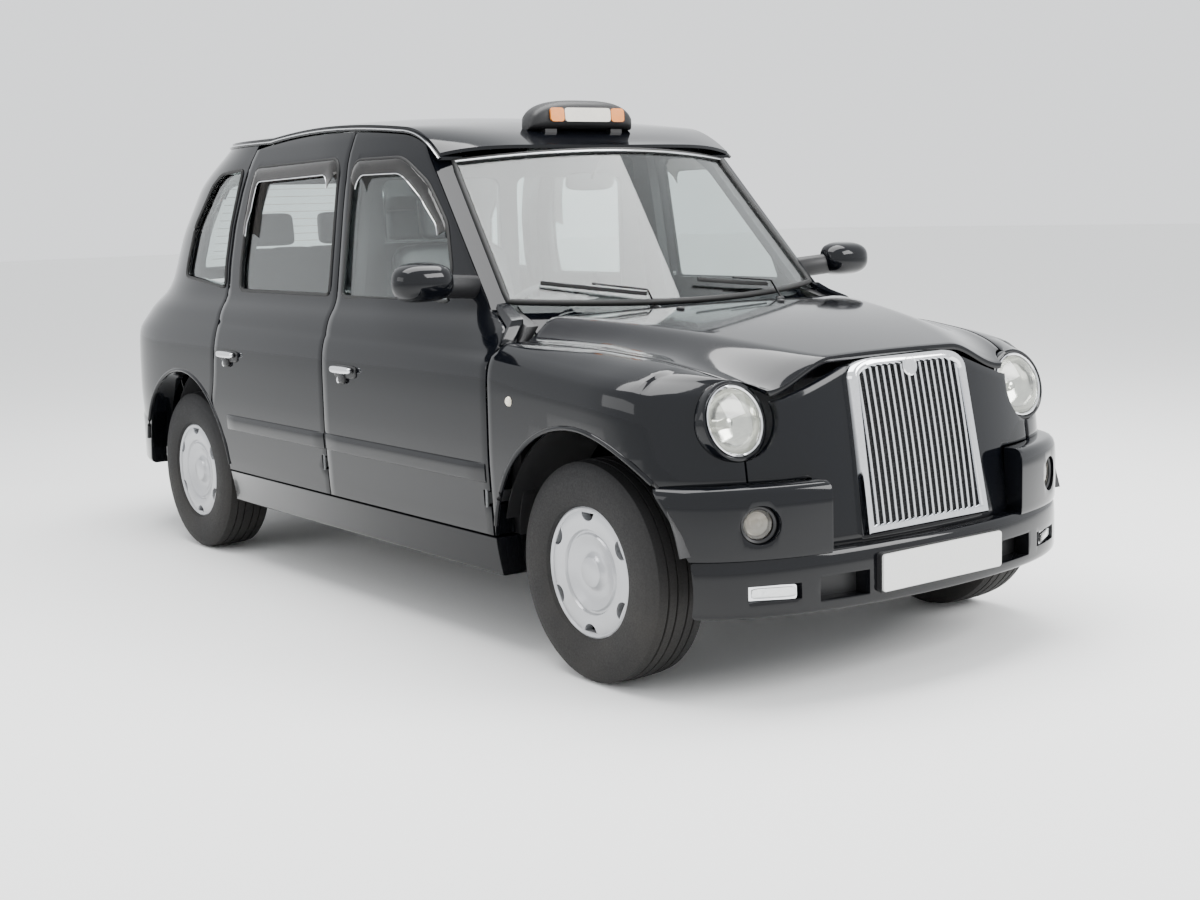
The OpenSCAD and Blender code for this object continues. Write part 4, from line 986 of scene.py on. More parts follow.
lidRows = [590, 610, 640, 680, 720, 770, 820] + list(range(850, 1120, 18)) + [1124]
v, f = shell(tailGrid(520, lidRows, 0, 39), tailGrid(520, lidRows, 36, 39))
lid = addMesh("bootPanel", v, f, "boot_lid", paint, stands=["boot_lid"])
slots = [box([-2300, -2060], [y - 14, y + 14], [1098, 1300]) for y in (-90, 90)]
carve(lid, [cutter(*c) for c in slots], edge=3)
x = tailAt(0, 720)[0]
v, f = prism(roundRect(262, 58, 10), "x", 0, 9)
plate = addMesh("rearPlate", moved([[v0[0], v0[1], v0[2]] for v0 in v], (x - 13, 0, 722)), f,
        "boot_lid",
                plateWhite)
v, f = prism(roundRect(275, 70, 14), "x", 0, 8)
addMesh("rearPlateFrame", moved(v, (x - 6, 0, 722)), f, "boot_lid", blackPlastic)
v, f = blob([16, 290, 22], 4)
addMesh("bootHandle", moved(v, (tailAt(0, 835)[0] - 2, 0, 835)), f, "boot_lid", chrome)
v, f = blob([10, 420, 12], 3)
addMesh("highStopLamp", moved(v, (tailAt(0, 1160)[0] - 4, 0, 1160)), f, "body", lensRed)
lugs = []
for y in (-90, 90):
    lugs.append(box([-2129, -2100], [y - 8, y + 8], [1103, 1150]))
    pin = lathe([[0, -37], [6, -37], [6, 37], [0, 37]], 20)
    lugs.append((moved(pin[0], (-2121.95, y, 1110), turnX(90)), pin[1]))
v, f = join(*lugs)
addMesh("bootHinges", v, f, "body", castMetal)
print("roof and tail ready")

# ---- Nose: wings, bonnet, bumper, grille, lamps ----

wingEnd = math.degrees(math.acos(619 / widthAt(850)))


def wingColumn(low, t, inset):
    onFlank = t <= 1
    x = mix(frontAxle - 440, frontAxle + 250, t) if onFlank else 0
    k = clamp(t - 1, 0, 1)
    a = 0 if onFlank else float(np.interp(k, [0, 0.2, 0.4, 0.6, 0.8, 1], [12, 20, 28, 35, 41, wingEnd]))
    tip = x if onFlank else nosePoint(a, 850)[0]
    cz = crestSoft(tip)
    d = 12 if inset else 0
    px = max(x, 1177)
    sx = px if onFlank else mix(frontAxle + 250, frontAxle + 395, k)
    col = []
    levels = [mix(low, cz - 130, q / 8) for q in range(9)] + [cz - 130 + 114 * q / 9 for q in range(1, 10)]
    for z in levels:
        tuck = 62 * (1 - math.sqrt(1 - clamp((z - cz + 100) / 116, 0, 0.92) ** 2))
        zz = min(z, 890)
        if onFlank:
            narrow = 1
            if x > frontAxle:
                narrow = math.sqrt(max(0, 1 - ((x - frontAxle) / (noseTip(z) - frontAxle)) ** 3.7))
            col.append([px, -(widthAt(zz) - d - tuck) * narrow, z])
        else:
            p = nosePoint(a, zz, d + tuck)
            col.append([p[0] - (0.16 * (z - zz) if zz < z else 0), p[1], z])
    if onFlank:
        narrow = 1
        if x > frontAxle:
            narrow = math.sqrt(max(0, 1 - ((x - frontAxle) / (noseTip(cz) - frontAxle)) ** 3.7))
        p = [sx, -(halfWidth - 46 - d) * narrow]
    else:
        p = nosePoint(a, 890, 52 + d)
    q = [sx, -(lidHalfSoft(sx) + gap / 2)]
    for s in (0.12, 0.25, 0.4, 0.55, 0.7, 0.85, 1):
        z = mix(cz, lidHeightSoft(sx), s) - d + 10 * math.sin(math.pi * s)
        col.append([mix(p[0], q[0], s), mix(p[1], q[1], s), z])
    return col


steps = [0.0] + [k / 30 for k in range(1, 31)] + [1 + k / 20 for k in range(3, 21)]


def wingSkin(inset):
    cols = [wingColumn(400 if t < 0.94 else 644.4, t, inset) for t in steps]
    return [[c[i] for c in cols] for i in range(len(cols[0]))]


lamp = {"x": 2055, "y": 619, "z": 821, "radius": 105, "lean": 15}
lampTurn = turnY(90 - lamp["lean"])


def atLamp(verts):
    return moved(verts, (lamp["x"], -lamp["y"], lamp["z"]), lampTurn)


def lampHole(grow):
    v, f = lathe([[0, -200], [lamp["radius"] + grow, -200], [lamp["radius"] + grow, 200], [0, 200]], 72)
    return atLamp(v), f


for word, left in sides:
    v, f = shell(wingSkin(False), wingSkin(True))
    wing = addMesh(word + "Wing", side(v, left), f, "body", paint,
                   stands=[] if left else ["front_wings"], angle=40)
    cuts = [prism([[frontAxle + 443 * math.cos(math.radians(a)), 343 + 443 * math.sin(math.radians(a))]
                   for a in range(0, 360, 3)], "y", -4000, -200), lampHole(15)]
    carve(wing, [cutter(side(c[0], left), c[1]) for c in cuts], edge=2, angle=40, folded=True)
    lip = []
    for a in range(8, 172, 4):
        x = frontAxle + 445 * math.cos(math.radians(a))
        z = 343 + 445 * math.sin(math.radians(a))
        if z > (402 if x < frontAxle else 650) and x > 1180:
            narrow = 1 if x <= frontAxle else math.sqrt(1 - ((x - frontAxle) / (noseTip(z) - frontAxle)) ** 3.7)
            lip.append([x, -(widthAt(z) * narrow - 3), z])
    v, f = tube(side(lip, left), 9, sides=8)
    addMesh(word + "FrontArchLip", v, f, "body", paint, angle=60)
    # Inner liner of the front arch
    liner = []
    for a in range(14, 167, 8):
        x = frontAxle + 449 * math.cos(math.radians(a))
        z = 343 + 449 * math.sin(math.radians(a))
        liner.append([x, z])
    rows = [[[x, y, z] for x, z in liner] for y in (-835, -760, -680, -560)]
    back = [[[frontAxle + (p[0] - frontAxle) * 1.012, p[1],
            343 + (p[2] - 343) * 1.012] for p in row] for row in rows]
    v, f = shell(rows, back)
    addMesh(word + "ArchLiner", side(v, left), f, "body", blackPlastic)

lidAcross = [k / 36 for k in range(-36, 37)]
lidAlong = [k / 44 for k in range(45)]
v, f = shell([[bonnetPoint(u, r) for r in lidAcross] for u in lidAlong],
             [[bonnetPoint(u, r, 18) for r in lidAcross] for u in lidAlong])
bonnet = addMesh("bonnetSkin", v, f, "bonnet", paint, stands=["bonnet"])
cuts = [lampHole(22), (side(lampHole(22)[0], True), lampHole(22)[1])]
carve(bonnet, [cutter(*c) for c in cuts], edge=2.5)
for y in (-225, 225):
    r = y / 760
    p = bonnetPoint(0.12, r)
    v, f = blob([16, 11, 7], 2.6)
    addMesh("washerJetRight" if y < 0 else "washerJetLeft", moved(v, (p[0], y, p[2] + 2)), f, "bonnet",
            blackPlastic)
blocks = []
for y in (-560, 560):
    for s in (-14, 14):
        blocks.append(box([1204, 1285], [y + s - 5, y + s + 5], [1052, 1073]))
v, f = join(*blocks)
addMesh("bonnetHingeArms", v, f, "bonnet", castMetal)


def panelTop(y):
    return float(np.interp(abs(y), [240, 380, 470, 515, 620], [952, 902, 874, 866, 878]))


def frontGrid(d):
    out = []
    for k in range(19):
        row = []
        for j in range(61):
            y = (2 * j / 60 - 1) * 611
            z = mix(442.4, panelTop(y), k / 18)
            row.append([noseX(y, z, d) - d, y, z])
        out.append(row)
    return out


leanDeg = math.degrees(math.atan((noseTip(462) - noseTip(930)) / (930 - 462)))


def onGrille(points, depth):
    a = math.radians(leanDeg)
    out = []
    for (u, v), w in zip(points, depth):
        out.append([noseTip(462) + 14 + w * math.cos(a) - v * math.sin(a), u,
                462 + v * math.cos(a) + w * math.sin(a)])
    return out


grilleUp = (977 - 462) / math.cos(math.radians(leanDeg))


def grilleOutline(d):
    pts = [[-267 + d, d], [267 - d, d]]
    arc = []
    for k in range(20):
        a = math.radians(14 + 76 * k / 19)
        b = math.radians(76 * k / 19)
        arc.append([(251 - d) * max(math.cos(b), 0.0) ** 0.35,
                grilleUp - 62 + (62 - d) * math.sin(a) - 14 * math.cos(a)])
    return pts + arc + [[-p[0], p[1]] for p in arc[::-1]]


def grilleRing(outer, inner, low, high):
    a, b = grilleOutline(outer), grilleOutline(inner)
    n = len(a)
    loops = [onGrille(a, [low] * n), onGrille(a, [high - 6] * n),
            onGrille(grilleOutline(outer + 5), [high] * n),
             onGrille(grilleOutline(inner - 6), [high] * n), onGrille(b, [high - 8] * n),
                     onGrille(b, [low] * n)]
    verts = [p for loop in loops for p in loop]
    faces = []
    for k in range(6):
        for i in range(n):
            j = (i + 1) % n
            m = (k + 1) % 6
            faces.append([k * n + i, k * n + j, m * n + j, m * n + i])
    return verts, faces


v, f = shell(frontGrid(2), frontGrid(14))
front = addMesh("frontPanelSkin", v, f, "body", paint, stands=["front_panel"])
hole = grilleOutline(3)
n = len(hole)
grilleCut = (onGrille(hole, [-140] * n) + onGrille(hole, [140] * n),
             [list(range(n)), list(range(2 * n - 1, n - 1, -1))]
             + [[i, (i + 1) % n, (i + 1) % n + n, i + n] for i in range(n)])
cuts = [grilleCut, lampHole(15), (side(lampHole(15)[0], True), lampHole(15)[1])]
for s in (-1, 1):
    cuts.append(box([0, 4000], [min(s * 415, s * 890), max(s * 415, s * 890)], [0, 644.4]))
carve(front, [cutter(*c) for c in cuts], edge=2)

v, f = grilleRing(4, 30, -60, 0)
addMesh("grilleFrame", v, f, "body", chrome, stands=["grille"], angle=50)
a = grilleOutline(28)
n = len(a)
v = onGrille(a, [-60] * n) + onGrille(a, [-52] * n)
f = [list(range(n)), list(range(2 * n - 1, n - 1, -1))] + [[i, (i + 1) % n, (i + 1) % n + n,
        i + n] for i in range(n)]
addMesh("grilleBack", v, f, "body", blackPlastic)
bars = []
mesh = []
for i in range(17):
    u = -239 + (i + 1) * 478 / 18
    top = max(p[1] for p in grilleOutline(30) if abs(p[0]) >= abs(u) - 16)
    line = [[u, 26 + (top - 28) * k / 10] for k in range(11)]
    bars.append(tube(onGrille(line, [-16 + 5 * math.sin(math.pi * k / 10) for k in range(11)]), 4.6,
            sides=8, flat=1.8))
for k in range(44):
    h = 34 + k * 11
    wide = max([abs(p[0]) for p in grilleOutline(30) if p[1] >= h] + [30])
    mesh.append(tube(onGrille([[-wide, h], [wide, h]], [-46, -46]), 1.6, sides=4))
v, f = join(*bars)
addMesh("grilleBars", v, f, "body", chrome, angle=60)
v, f = join(*mesh)
addMesh("grilleMesh", v, f, "body", blackPlastic, angle=60)
v, f = lathe([[0, 0], [30, 0], [31, 4], [27, 7], [24, 5], [0, 6]], 48)
c = onGrille([[0, grilleUp - 40]], [-6])[0]
addMesh("grilleBadge", moved(v, c, turnY(90 - leanDeg)), f, "body", chrome)


def bandPoint(a, inset, tip, half, power):
    s = math.cos(math.radians(a))
    reach = (tip - frontAxle - inset) * max(s, 0) ** (2 / power)
    return [frontAxle + reach, (half - inset) * math.sin(math.radians(a))]


def bumperBand(levels, tip, half, power, thick, rear=False):
    angles = list(np.linspace(-90, 90, 121))
    def grid(extra):
        out = []
        for z, d in levels:
            row = []
            for a in angles:
                if rear:
                    s = math.cos(math.radians(a))
                    reach = (2290 + rearAxle - d - extra) * max(s, 0) ** (2 / power)
                    row.append([rearAxle - reach, (half - d - extra) * math.sin(math.radians(a)), z])
                else:
                    x, y = bandPoint(a, d + extra, tip, half, power)
                    row.append([x, y, z])
            out.append(row)
        return out
    outer = grid(0)
    inner = [[[p[0], p[1], q[0]] for p in row] for row, q in zip(grid(thick), levels)]
    flat = [[list(bandPoint(a, thick, tip, half, power)) + [z] if not rear else
             [rearAxle - (2290 + rearAxle - thick) * max(math.cos(math.radians(a)), 0) ** (2 / power),
              (half - thick) * math.sin(math.radians(a)), z] for a in angles] for z, d in levels]
    return shell(outer, flat)


lowLevels = [(265, 16), (268, 8), (276, 2), (288, 0), (330, 0), (380, 0), (420, 2), (434, 6), (442, 12)]
topLevels = [(436, 3), (446, 1), (460, 0), (520, 0), (580, 0), (615, 2), (630, 7), (640, 15), (644, 26)]
v, f = bumperBand(lowLevels, 2282, 876, 4.3, 70)
low = addMesh("bumperLower", v, f, "body", paint, stands=["bumpers"])
fog = {"y": 632, "z": 536, "radius": 44}
spot = {"y": 594, "z": 338, "width": 150, "height": 44}
cuts = [prism([[frontAxle + 443 * math.cos(math.radians(a)), 343 + 443 * math.sin(math.radians(a))]
               for a in range(0, 360, 3)], "y", -4000, 4000)]
for s in (-1, 1):
    cuts.append(box([2022, 2600], sorted([s * spot["y"] - 76, s * spot["y"] + 76]), [315, 361]))
    cuts.append(box([2022, 2600], sorted([s * 375 - 85, s * 375 + 85]), [300, 372]))
carve(low, [cutter(*c) for c in cuts], edge=4)
v, f = bumperBand([(290, 56), (380, 56)], 2282, 876, 4.3, 66)
liner = addMesh("bumperLiner", v, f, "body", blackPlastic)
carve(liner, [cutter(*prism([[frontAxle + 445 * math.cos(math.radians(a)),
        343 + 445 * math.sin(math.radians(a))]
                             for a in range(0, 360, 3)], "y", -4000, 4000))])
v, f = bumperBand(topLevels, 2280, 880, 4.3, 70)
top = addMesh("bumperUpper", v, f, "body", paint)
cuts = [prism([[frontAxle + 443 * math.cos(math.radians(a)), 343 + 443 * math.sin(math.radians(a))]
               for a in range(0, 360, 3)], "y", -4000, 4000), box([0, 4000], [-415, 415], [0, 900])]
for s in (-1, 1):
    h, g = lathe([[0, -200], [fog["radius"] + 12, -200], [fog["radius"] + 12, 200], [0, 200]], 48)
    cuts.append((moved(h, (2182, s * fog["y"], fog["z"]), turnY(90)), g))
carve(top, [cutter(*c) for c in cuts], edge=5)
v, f = bumperBand([(330, 18), (336, 6), (350, 0), (440, 0), (540, 0), (556, 4), (566, 12), (570, 24)],
        0, 882, 4, 70,
                  rear=True)
back = addMesh("bumperRear", v, f, "body", paint)
carve(back, [cutter(*prism([[rearAxle + 443 * math.cos(math.radians(a)),
        343 + 443 * math.sin(math.radians(a))]
                            for a in range(0, 360, 3)], "y", -4000, 4000))], edge=4)
v, f = prism(roundRect(260, 55.5, 10), "x", 0, 7)
addMesh("frontPlate", moved(v, (2284, 0, 358)), f, "body", plateWhite)
v, f = prism(roundRect(264, 60, 12), "x", 0, 26)
addMesh("frontPlateMount", moved(v, (2258, 0, 358)), f, "body", blackPlastic)

lampPieces = {
    "Bezel": ([[119, -60], [119, -4], [117, 2], [111, 4], [105, 1], [104, -60]], paint, "body_paint"),
    "Ring": ([[104, -8], [104, 4], [101, 6], [97, 3], [96, -8]], chrome, "bright_trim"),
    "Bowl": ([[96, -6], [90, -26], [74, -46], [50, -60], [20, -66], [0, -66], [0, -69], [52, -64],
            [98, -30],
              [98, -6]], reflector, "bright_trim"),
    "Lens": ([[0, 22], [30, 20.5], [60, 15], [84, 8], [97, 0], [97, -3], [84, 4], [60, 11], [30, 16.5],
            [0, 18]],
             lensClear, "lens"),
    "Bulb": ([[0, -20], [12, -24], [16, -34], [14, -66], [0, -66]], reflector, "bright_trim"),
}
for word, left in sides:
    for part, (profile, material, slotName) in lampPieces.items():
        v, f = lathe(profile, 72)
        stands = ["lamps"] if part == "Bezel" and not left else []
        addMesh(word + "Headlamp" + part, side(atLamp(v), left), f, "body", material,
                stands=stands)
    for part, profile, material, slotName in (
            ("Ring", [[56, -50], [56, -2], [52, 2], [45, -2], [43, -50]], blackPlastic, "dark_plastic"),
            ("Bowl", [[42, -6], [34, -22], [14, -32], [0, -32], [0, -35], [36, -26], [44, -6]], steel,
                    "bright_trim"),
            ("Lens", [[0, 0], [22, -1.5], [43, -6], [43, -9], [22, -4.5], [0, -3]], lensClear, "lens")):
        v, f = lathe(profile, 48)
        addMesh(word + "FogLamp" + part,
                side(moved(v, (2164, -fog["y"], fog["z"]), turnZ(-24) @ turnY(90)), left), f, "body",
                material)
    v, f = prism(roundRect(73, 21, 8), "x", 0, 12)
    addMesh(word + "LowLampRim", side(moved(v, (2170, -spot["y"], spot["z"]), turnZ(-27)), left), f,
            "body", chrome)
    v, f = blob([10, 66, 15], 6)
    addMesh(word + "LowLampLens", side(moved(v, (2180, -spot["y"], spot["z"]), turnZ(-27)), left), f,
            "body", lensClear)
    v, f = lathe([[0, 9], [7, 8.4], [13, 4.5], [16, 0], [16, -3], [0, -3]], 32)
    addMesh(word + "SideRepeater", side(moved(v, (1301, -(widthAt(845) + 1), 845), turnX(90)), left), f,
            "body",
            lensCream)
    tx = tailAt(620, 900)[0]
    for part, z0, z1, material in (("Stop", 790, 958, lensRed), ("Turn", 745, 786, lensAmber),
                                   ("Back", 702, 741, lensClear)):
        v, f = blob([24, 39, (z1 - z0) / 2], 6)
        addMesh(word + "TailLamp" + part, side(moved(v, (tx + 2, -620, (z0 + z1) / 2)), left), f,
                "body", material)
    v, f = prism(roundRect(40, 130, 10), "x", 0, 30)
    addMesh(word + "TailLampTray", side(moved(v, (tx - 2, -620, 830)), left), f, "body",
            blackPlastic)
print("nose ready")

# ---- Mirrors ----

mirror = {"x": 925, "y": 954, "z": 1210, "width": 106, "height": 64, "depth": 68}

for word, left in sides:
    door = word + "_front_door"
    v, f = blob([mirror["depth"], mirror["width"], mirror["height"]], 2.7)
    shaped = []
    for p in v:
        k = clamp(p[0] / mirror["depth"], -1, 1)
        shaped.append([max(p[0], -26), p[1] * (1 - 0.06 * k), p[2] * (1 - 0.1 * k)])
    addMesh(word + "MirrorHead", side(moved(shaped, (mirror["x"], -mirror["y"], mirror["z"])), left), f,
            door,
            paint, stands=[word + "_mirror"], angle=50)
    v, f = prism(roundRect(72, 50, 24), "x", -2, 0)
    addMesh(word + "MirrorGlass", side(moved(v, (mirror["x"] - 27, -mirror["y"], mirror["z"])), left),
            f, door,
            mirrorGlass)
    v, f = prism(roundRect(76, 54, 26), "x", -2, 0)
    addMesh(word + "MirrorRim", side(moved(v, (mirror["x"] - 25.5, -mirror["y"], mirror["z"])), left),
            f, door,
            blackPlastic)
    foot = [[868, -(screenHalf(1150) + 24), 1150], [880, -(screenHalf(1170) + 40), 1168],
            [900, -(screenHalf(1180) + 62), 1184], [920, -910, 1196]]
    v, f = tube(side(foot, left), 26, sides=16, flat=1.5)
    addMesh(word + "MirrorArm", v, f, door, blackPlastic, angle=60)

# ---- Roof sign ----

sign = {"x": 494, "half": 236, "low": 1722, "rise": 108, "depth": 66}


def signSkin(inset):
    rows = []
    for j in range(41):
        t = 2 * j / 40 - 1
        half = (1 - abs(t) ** 3.2) ** 0.5 if abs(t) < 1 else 0
        tall = max(10, (sign["rise"] - inset) * (0.22 + 0.78 * half))
        deep = max(8, (sign["depth"] - inset) * (0.35 + 0.65 * half))
        ring = []
        for k in range(36):
            a = 2 * math.pi * k / 36
            c, s = math.cos(a), math.sin(a)
            x = deep * (abs(c) ** 0.7) * (1 if c > 0 else -1)
            z = sign["low"] + tall / 2 + tall / 2 * (abs(s) ** 0.75) * (1 if s > 0 else -1)
            ring.append([sign["x"] + x, t * (sign["half"] - inset), z])
        rows.append(ring)
    return rows


rows = signSkin(0)
verts = [p for row in rows for p in row]
faces = []
for j in range(len(rows) - 1):
    for k in range(36):
        m = (k + 1) % 36
        faces.append([j * 36 + k, j * 36 + m, (j + 1) * 36 + m, (j + 1) * 36 + k])
faces += [list(range(36))[::-1], [40 * 36 + k for k in range(36)]]
addMesh("roofSignPod", verts, faces, "body", blackPlastic, stands=["roof_sign"], angle=60)
for y, material, wide, word in ((0, signWhite, 104, "Middle"), (-138, lensAmber, 30, "Right"),
        (138, lensAmber, 30, "Left")):
    v, f = prism(rounded(roundRect(wide, 25, 12), 3), "x", 0, 7)
    addMesh("roofSignLens" + word, moved(v, (sign["x"] + 61, y, sign["low"] + 52), turnY(-4)), f,
            "body", material)
v, f = join(*[box([sign["x"] - 40, sign["x"] + 40], [y - 26, y + 26], [1706, 1724]) for y in (-150, 150)])
addMesh("roofSignFeet", v, f, "body", blackPlastic)
print("mirrors and sign ready")

# ---- Wheels ----

wheel = {"tyre": 343, "half": 107, "rim": 203, "outer": 745}


def tyreProfile():
    out = [[wheel["rim"] - 3, -84], [wheel["rim"] + 6, -98], [wheel["rim"] + 26, -105],
            [wheel["rim"] + 62, -107.4],
           [wheel["rim"] + 92, -106], [wheel["rim"] + 96, -104.6], [wheel["tyre"] - 30, -101],
                   [wheel["tyre"] - 16, -95],
           [wheel["tyre"] - 7, -87]]
    ribs = []
    for low, high in ((-86, -56), (-49, -24), (-17, 17), (24, 49), (56, 86)):
        ribs += [[wheel["tyre"] - 9, low - 1], [wheel["tyre"] - (1 + 5 * abs(low / 86) ** 3), low],
                 [wheel["tyre"] - (1 + 5 * abs(high / 86) ** 3), high], [wheel["tyre"] - 9, high + 1]]
    out = out[:-1] + ribs[1:-1] + [[wheel["tyre"] - 16, 95], [wheel["tyre"] - 30, 101],
            [wheel["rim"] + 96, 104.6],
                                   [wheel["rim"] + 92, 106], [wheel["rim"] + 62, 107.4],
                                           [wheel["rim"] + 26, 105],
                                   [wheel["rim"] + 6, 98], [wheel["rim"] - 3, 84]]
    return out + [[wheel["rim"] - 9, 80], [wheel["rim"] - 9, -80]]


def coverProfile():
    return [[0, 84], [40, 85], [46, 82], [50, 73], [58, 65], [64, 63], [96, 74], [116, 82], [121, 75],
            [127, 75],
            [132, 83], [160, 88], [180, 88], [190, 85], [197, 90], [203, 86], [202, 74], [196, 62],
                    [188, 58],
            [120, 54], [54, 48], [0, 48]]


for word, left in sides:
    for end, x in (("front", frontAxle), ("rear", rearAxle)):
        body = word + "_" + end + "_wheel"
        def place(verts):
            flip = 1 if left else -1
            return [[x + p[0], flip * (wheel["outer"] + p[2]), wheel["tyre"] + p[1]] for p in verts]
        v, f = lathe(tyreProfile(), 144)
        addMesh(body + "Tyre", place(v), f, body, tyreRubber,
                stands=[word + "_" + end + "_tyre"], angle=34)
        profile = coverProfile()
        v, f = lathe(profile, 96)
        cover = addMesh(body + "Cover", place(v), f, body, coverSilver,
                        stands=[word + "_" + end + "_wheel"], angle=38)
        holes = []
        for k in range(6):
            a = math.radians(60 * k + 30)
            ring = []
            for b in range(0, 360, 12):
                along = 30 * math.sin(math.radians(b))
                out = 184 - (25 * math.cos(math.radians(b)) if math.cos(math.radians(b)) > 0 else 0)
                ring.append([out * math.cos(a) - along * math.sin(a),
                        out * math.sin(a) + along * math.cos(a)])
            m = len(ring)
            hv = [[p[0], p[1], 40] for p in ring] + [[p[0], p[1], 120] for p in ring]
            hf = [list(range(m))[::-1], list(range(m, 2 * m))]
            hf += [[i, (i + 1) % m, (i + 1) % m + m, i + m] for i in range(m)]
            holes.append(cutter(place(hv), hf))
        carve(cover, holes, edge=2, angle=38)
        v, f = lathe([[198, 74], [200, 60], [196, 40], [176, 20], [170, -40], [186, -70], [200, -84],
                [206, -88],
                      [204, -80], [190, -64], [176, -36], [180, 18], [199, 38], [203, 60], [202, 74]], 72)
        addMesh(body + "Rim", place(v), f, body, steel)
        v, f = lathe([[34, -30], [120, -30], [150, -12], [172, 0], [172, 6], [148, -4], [118, -20],
                [34, -20]], 72)
        addMesh(body + "Disc", place(v), f, body, castMetal)
        v, f = lathe([[0, 50], [32, 48], [32, -28], [0, -28]], 32)
        addMesh(body + "Hub", place(v), f, body, castMetal)
print("wheels ready")

# ---- Cabin ----

dash = [[1158, 768], [1158, 946], [1106, 996], [1028, 1050], [842, 1036], [824, 962], [918, 806],
        [1046, 758]]


def dashSection(y, inset=0):
    edge = clamp((abs(y) - 560) / 130, 0, 1)
    hood = math.exp(-((y + 370) / 190) ** 2)
    out = []
    for x, z in rounded(dash, 16):
        if z > 940:
            z = z - 34 * edge + 20 * hood * clamp((1000 - x) / 160, 0, 1)
        out.append([mix(x, 990, inset / 200), y, mix(z, 900, inset / 200)])
    return out


def sections(rings):
    n = len(rings[0])
    verts = [p for ring in rings for p in ring]
    faces = [list(range(n)), [len(verts) - n + k for k in range(n)][::-1]]
    for j in range(len(rings) - 1):
        for k in range(n):
            m = (k + 1) % n
            faces.append([j * n + k, j * n + m, (j + 1) * n + m, (j + 1) * n + k])
    return verts, faces


widths = [-690, -684] + list(np.linspace(-660, 660, 45)) + [684, 690]
v, f = sections([dashSection(float(y), 12 if abs(y) > 688 else 0) for y in widths])
addMesh("dashboardMoulding", v, f, "body", dashPlastic, stands=["dashboard"], angle=42)
v, f = blob([34, 150, 46], 5)
addMesh("dashGaugeHood", moved(v, (838, -370, 1030), turnY(-10)), f, "body", blackPlastic)
v, f = prism(roundRect(132, 74, 14), "x", -4, 0)
addMesh("dashConsoleFace", moved(v, (852, 0, 905), turnY(30)), f, "body", blackPlastic)
vents = []
for y in (-600, -150, 150, 600):
    for k in range(6):
        vents.append(moved(box([-3, 3], [-52, 52], [-1.6, 1.6])[0], (829, y, 978 + 8 * k), turnY(-18)))
faces = box([0, 1], [0, 1], [0, 1])[1]
v, f = join(*[(p, faces) for p in vents])
addMesh("dashVents", v, f, "body", blackPlastic)

wheelAt = (710, -370, 1010)
wheelTurn = turnY(-62)
ring = [[176 * math.cos(math.radians(a)), 176 * math.sin(math.radians(a)), 0] for a in range(0, 360, 5)]
v, f = tube(ring, 13, closed=True, sides=14)
addMesh("steeringRim", moved(v, wheelAt, wheelTurn), f, "steering_wheel", leather,
        stands=["steering_wheel"], angle=60)
spokes = []
for a in (90, 210, 330):
    c, s = math.cos(math.radians(a)), math.sin(math.radians(a))
    spokes.append(tube([[48 * c, 48 * s, 8], [100 * c, 100 * s, 3], [168 * c, 168 * s, 0]], 7, sides=10,
            flat=2.0))
v, f = join(*spokes)
addMesh("steeringSpokes", moved(v, wheelAt, wheelTurn), f, "steering_wheel",
        blackPlastic, angle=60)
v, f = lathe([[0, 24], [36, 22], [56, 14], [62, 4], [60, -8], [34, -14], [0, -14]], 48)
addMesh("steeringBoss", moved(v, wheelAt, wheelTurn), f, "steering_wheel", leather)

pad = {"round": 34, "sag": 7, "seam": 6}


def cushion(name, outline, y0, y1, stands=(), seams=3, power=3.0):
    outline = rounded(outline, pad["round"], 7)
    cx = sum(p[0] for p in outline) / len(outline)
    cz = sum(p[1] for p in outline) / len(outline)
    rings = []
    count = 40
    for j in range(count + 1):
        t = 2 * j / count - 1
        tuck = 1 - 0.16 * abs(t) ** 8 - (0.2 if abs(t) == 1 else 0)
        stitch = 0
        for k in range(seams):
            at = -0.62 + 1.24 * k / max(1, seams - 1) if seams > 1 else 0
            stitch = max(stitch, math.exp(-((t - at) / 0.028) ** 2))
        puff = -pad["seam"] * stitch
        ring = []
        for x, z in outline:
            d = math.hypot(x - cx, z - cz)
            s = tuck + puff / max(d, 60)
            ring.append([cx + (x - cx) * s, mix(y0, y1, (t + 1) / 2), cz + (z - cz) * s])
        rings.append(ring)
    v, f = sections(rings)
    piece = addMesh(name, v, f, "body", leather, stands=stands, angle=70)
    return piece


driver = {"squab": [[310, 682], [318, 790], [172, 1318], [108, 1318], [192, 682]],
          "rest": [[168, 1330], [156, 1498], [92, 1498], [108, 1330]]}
cushion("driverCushion", [[192, 566], [708, 572], [706, 672], [640, 688], [192, 672]], -618, -122,
        stands=["driver_seat"])
cushion("driverSquab", driver["squab"], -618, -122)
cushion("driverHeadRest", driver["rest"], -478, -262, seams=0)
cushion("benchCushion", [[-1282, 704], [-748, 708], [-752, 786], [-800, 798], [-1282, 790]], -593, 593,
        stands=["rear_bench"], seams=5)
cushion("benchSquab", [[-1176, 800], [-1184, 850], [-1346, 1296], [-1430, 1296], [-1302, 800]], -593,
        593, seams=5)
for k, y in enumerate((-360, 0, 360)):
    cushion("benchHeadRest" + str(k + 1), [[-1352, 1302], [-1370, 1448], [-1432, 1448], [-1428, 1302]],
            y - 108, y + 108,
            seams=0)
v, f = prism([[-1204, 604], [-844, 604], [-838, 700], [-1204, 700]], "y", -583, 583)
addMesh("benchBase", v, f, "body", carpet)
v, f = prism(rounded([[254, 347], [606, 347], [600, 566], [262, 566]], 14), "y", -556, -184)
addMesh("driverSeatBase", v, f, "body", blackPlastic)

# Partition: frame, two clear panes, hand rails
wall = [[-690, 352], [690, 352], [690, 1050], [626, 1636], [-626, 1636], [-690, 1050]]


def wallFrame(x):
    return [[x, p[0], p[1]] for p in rounded(wall, 26)]


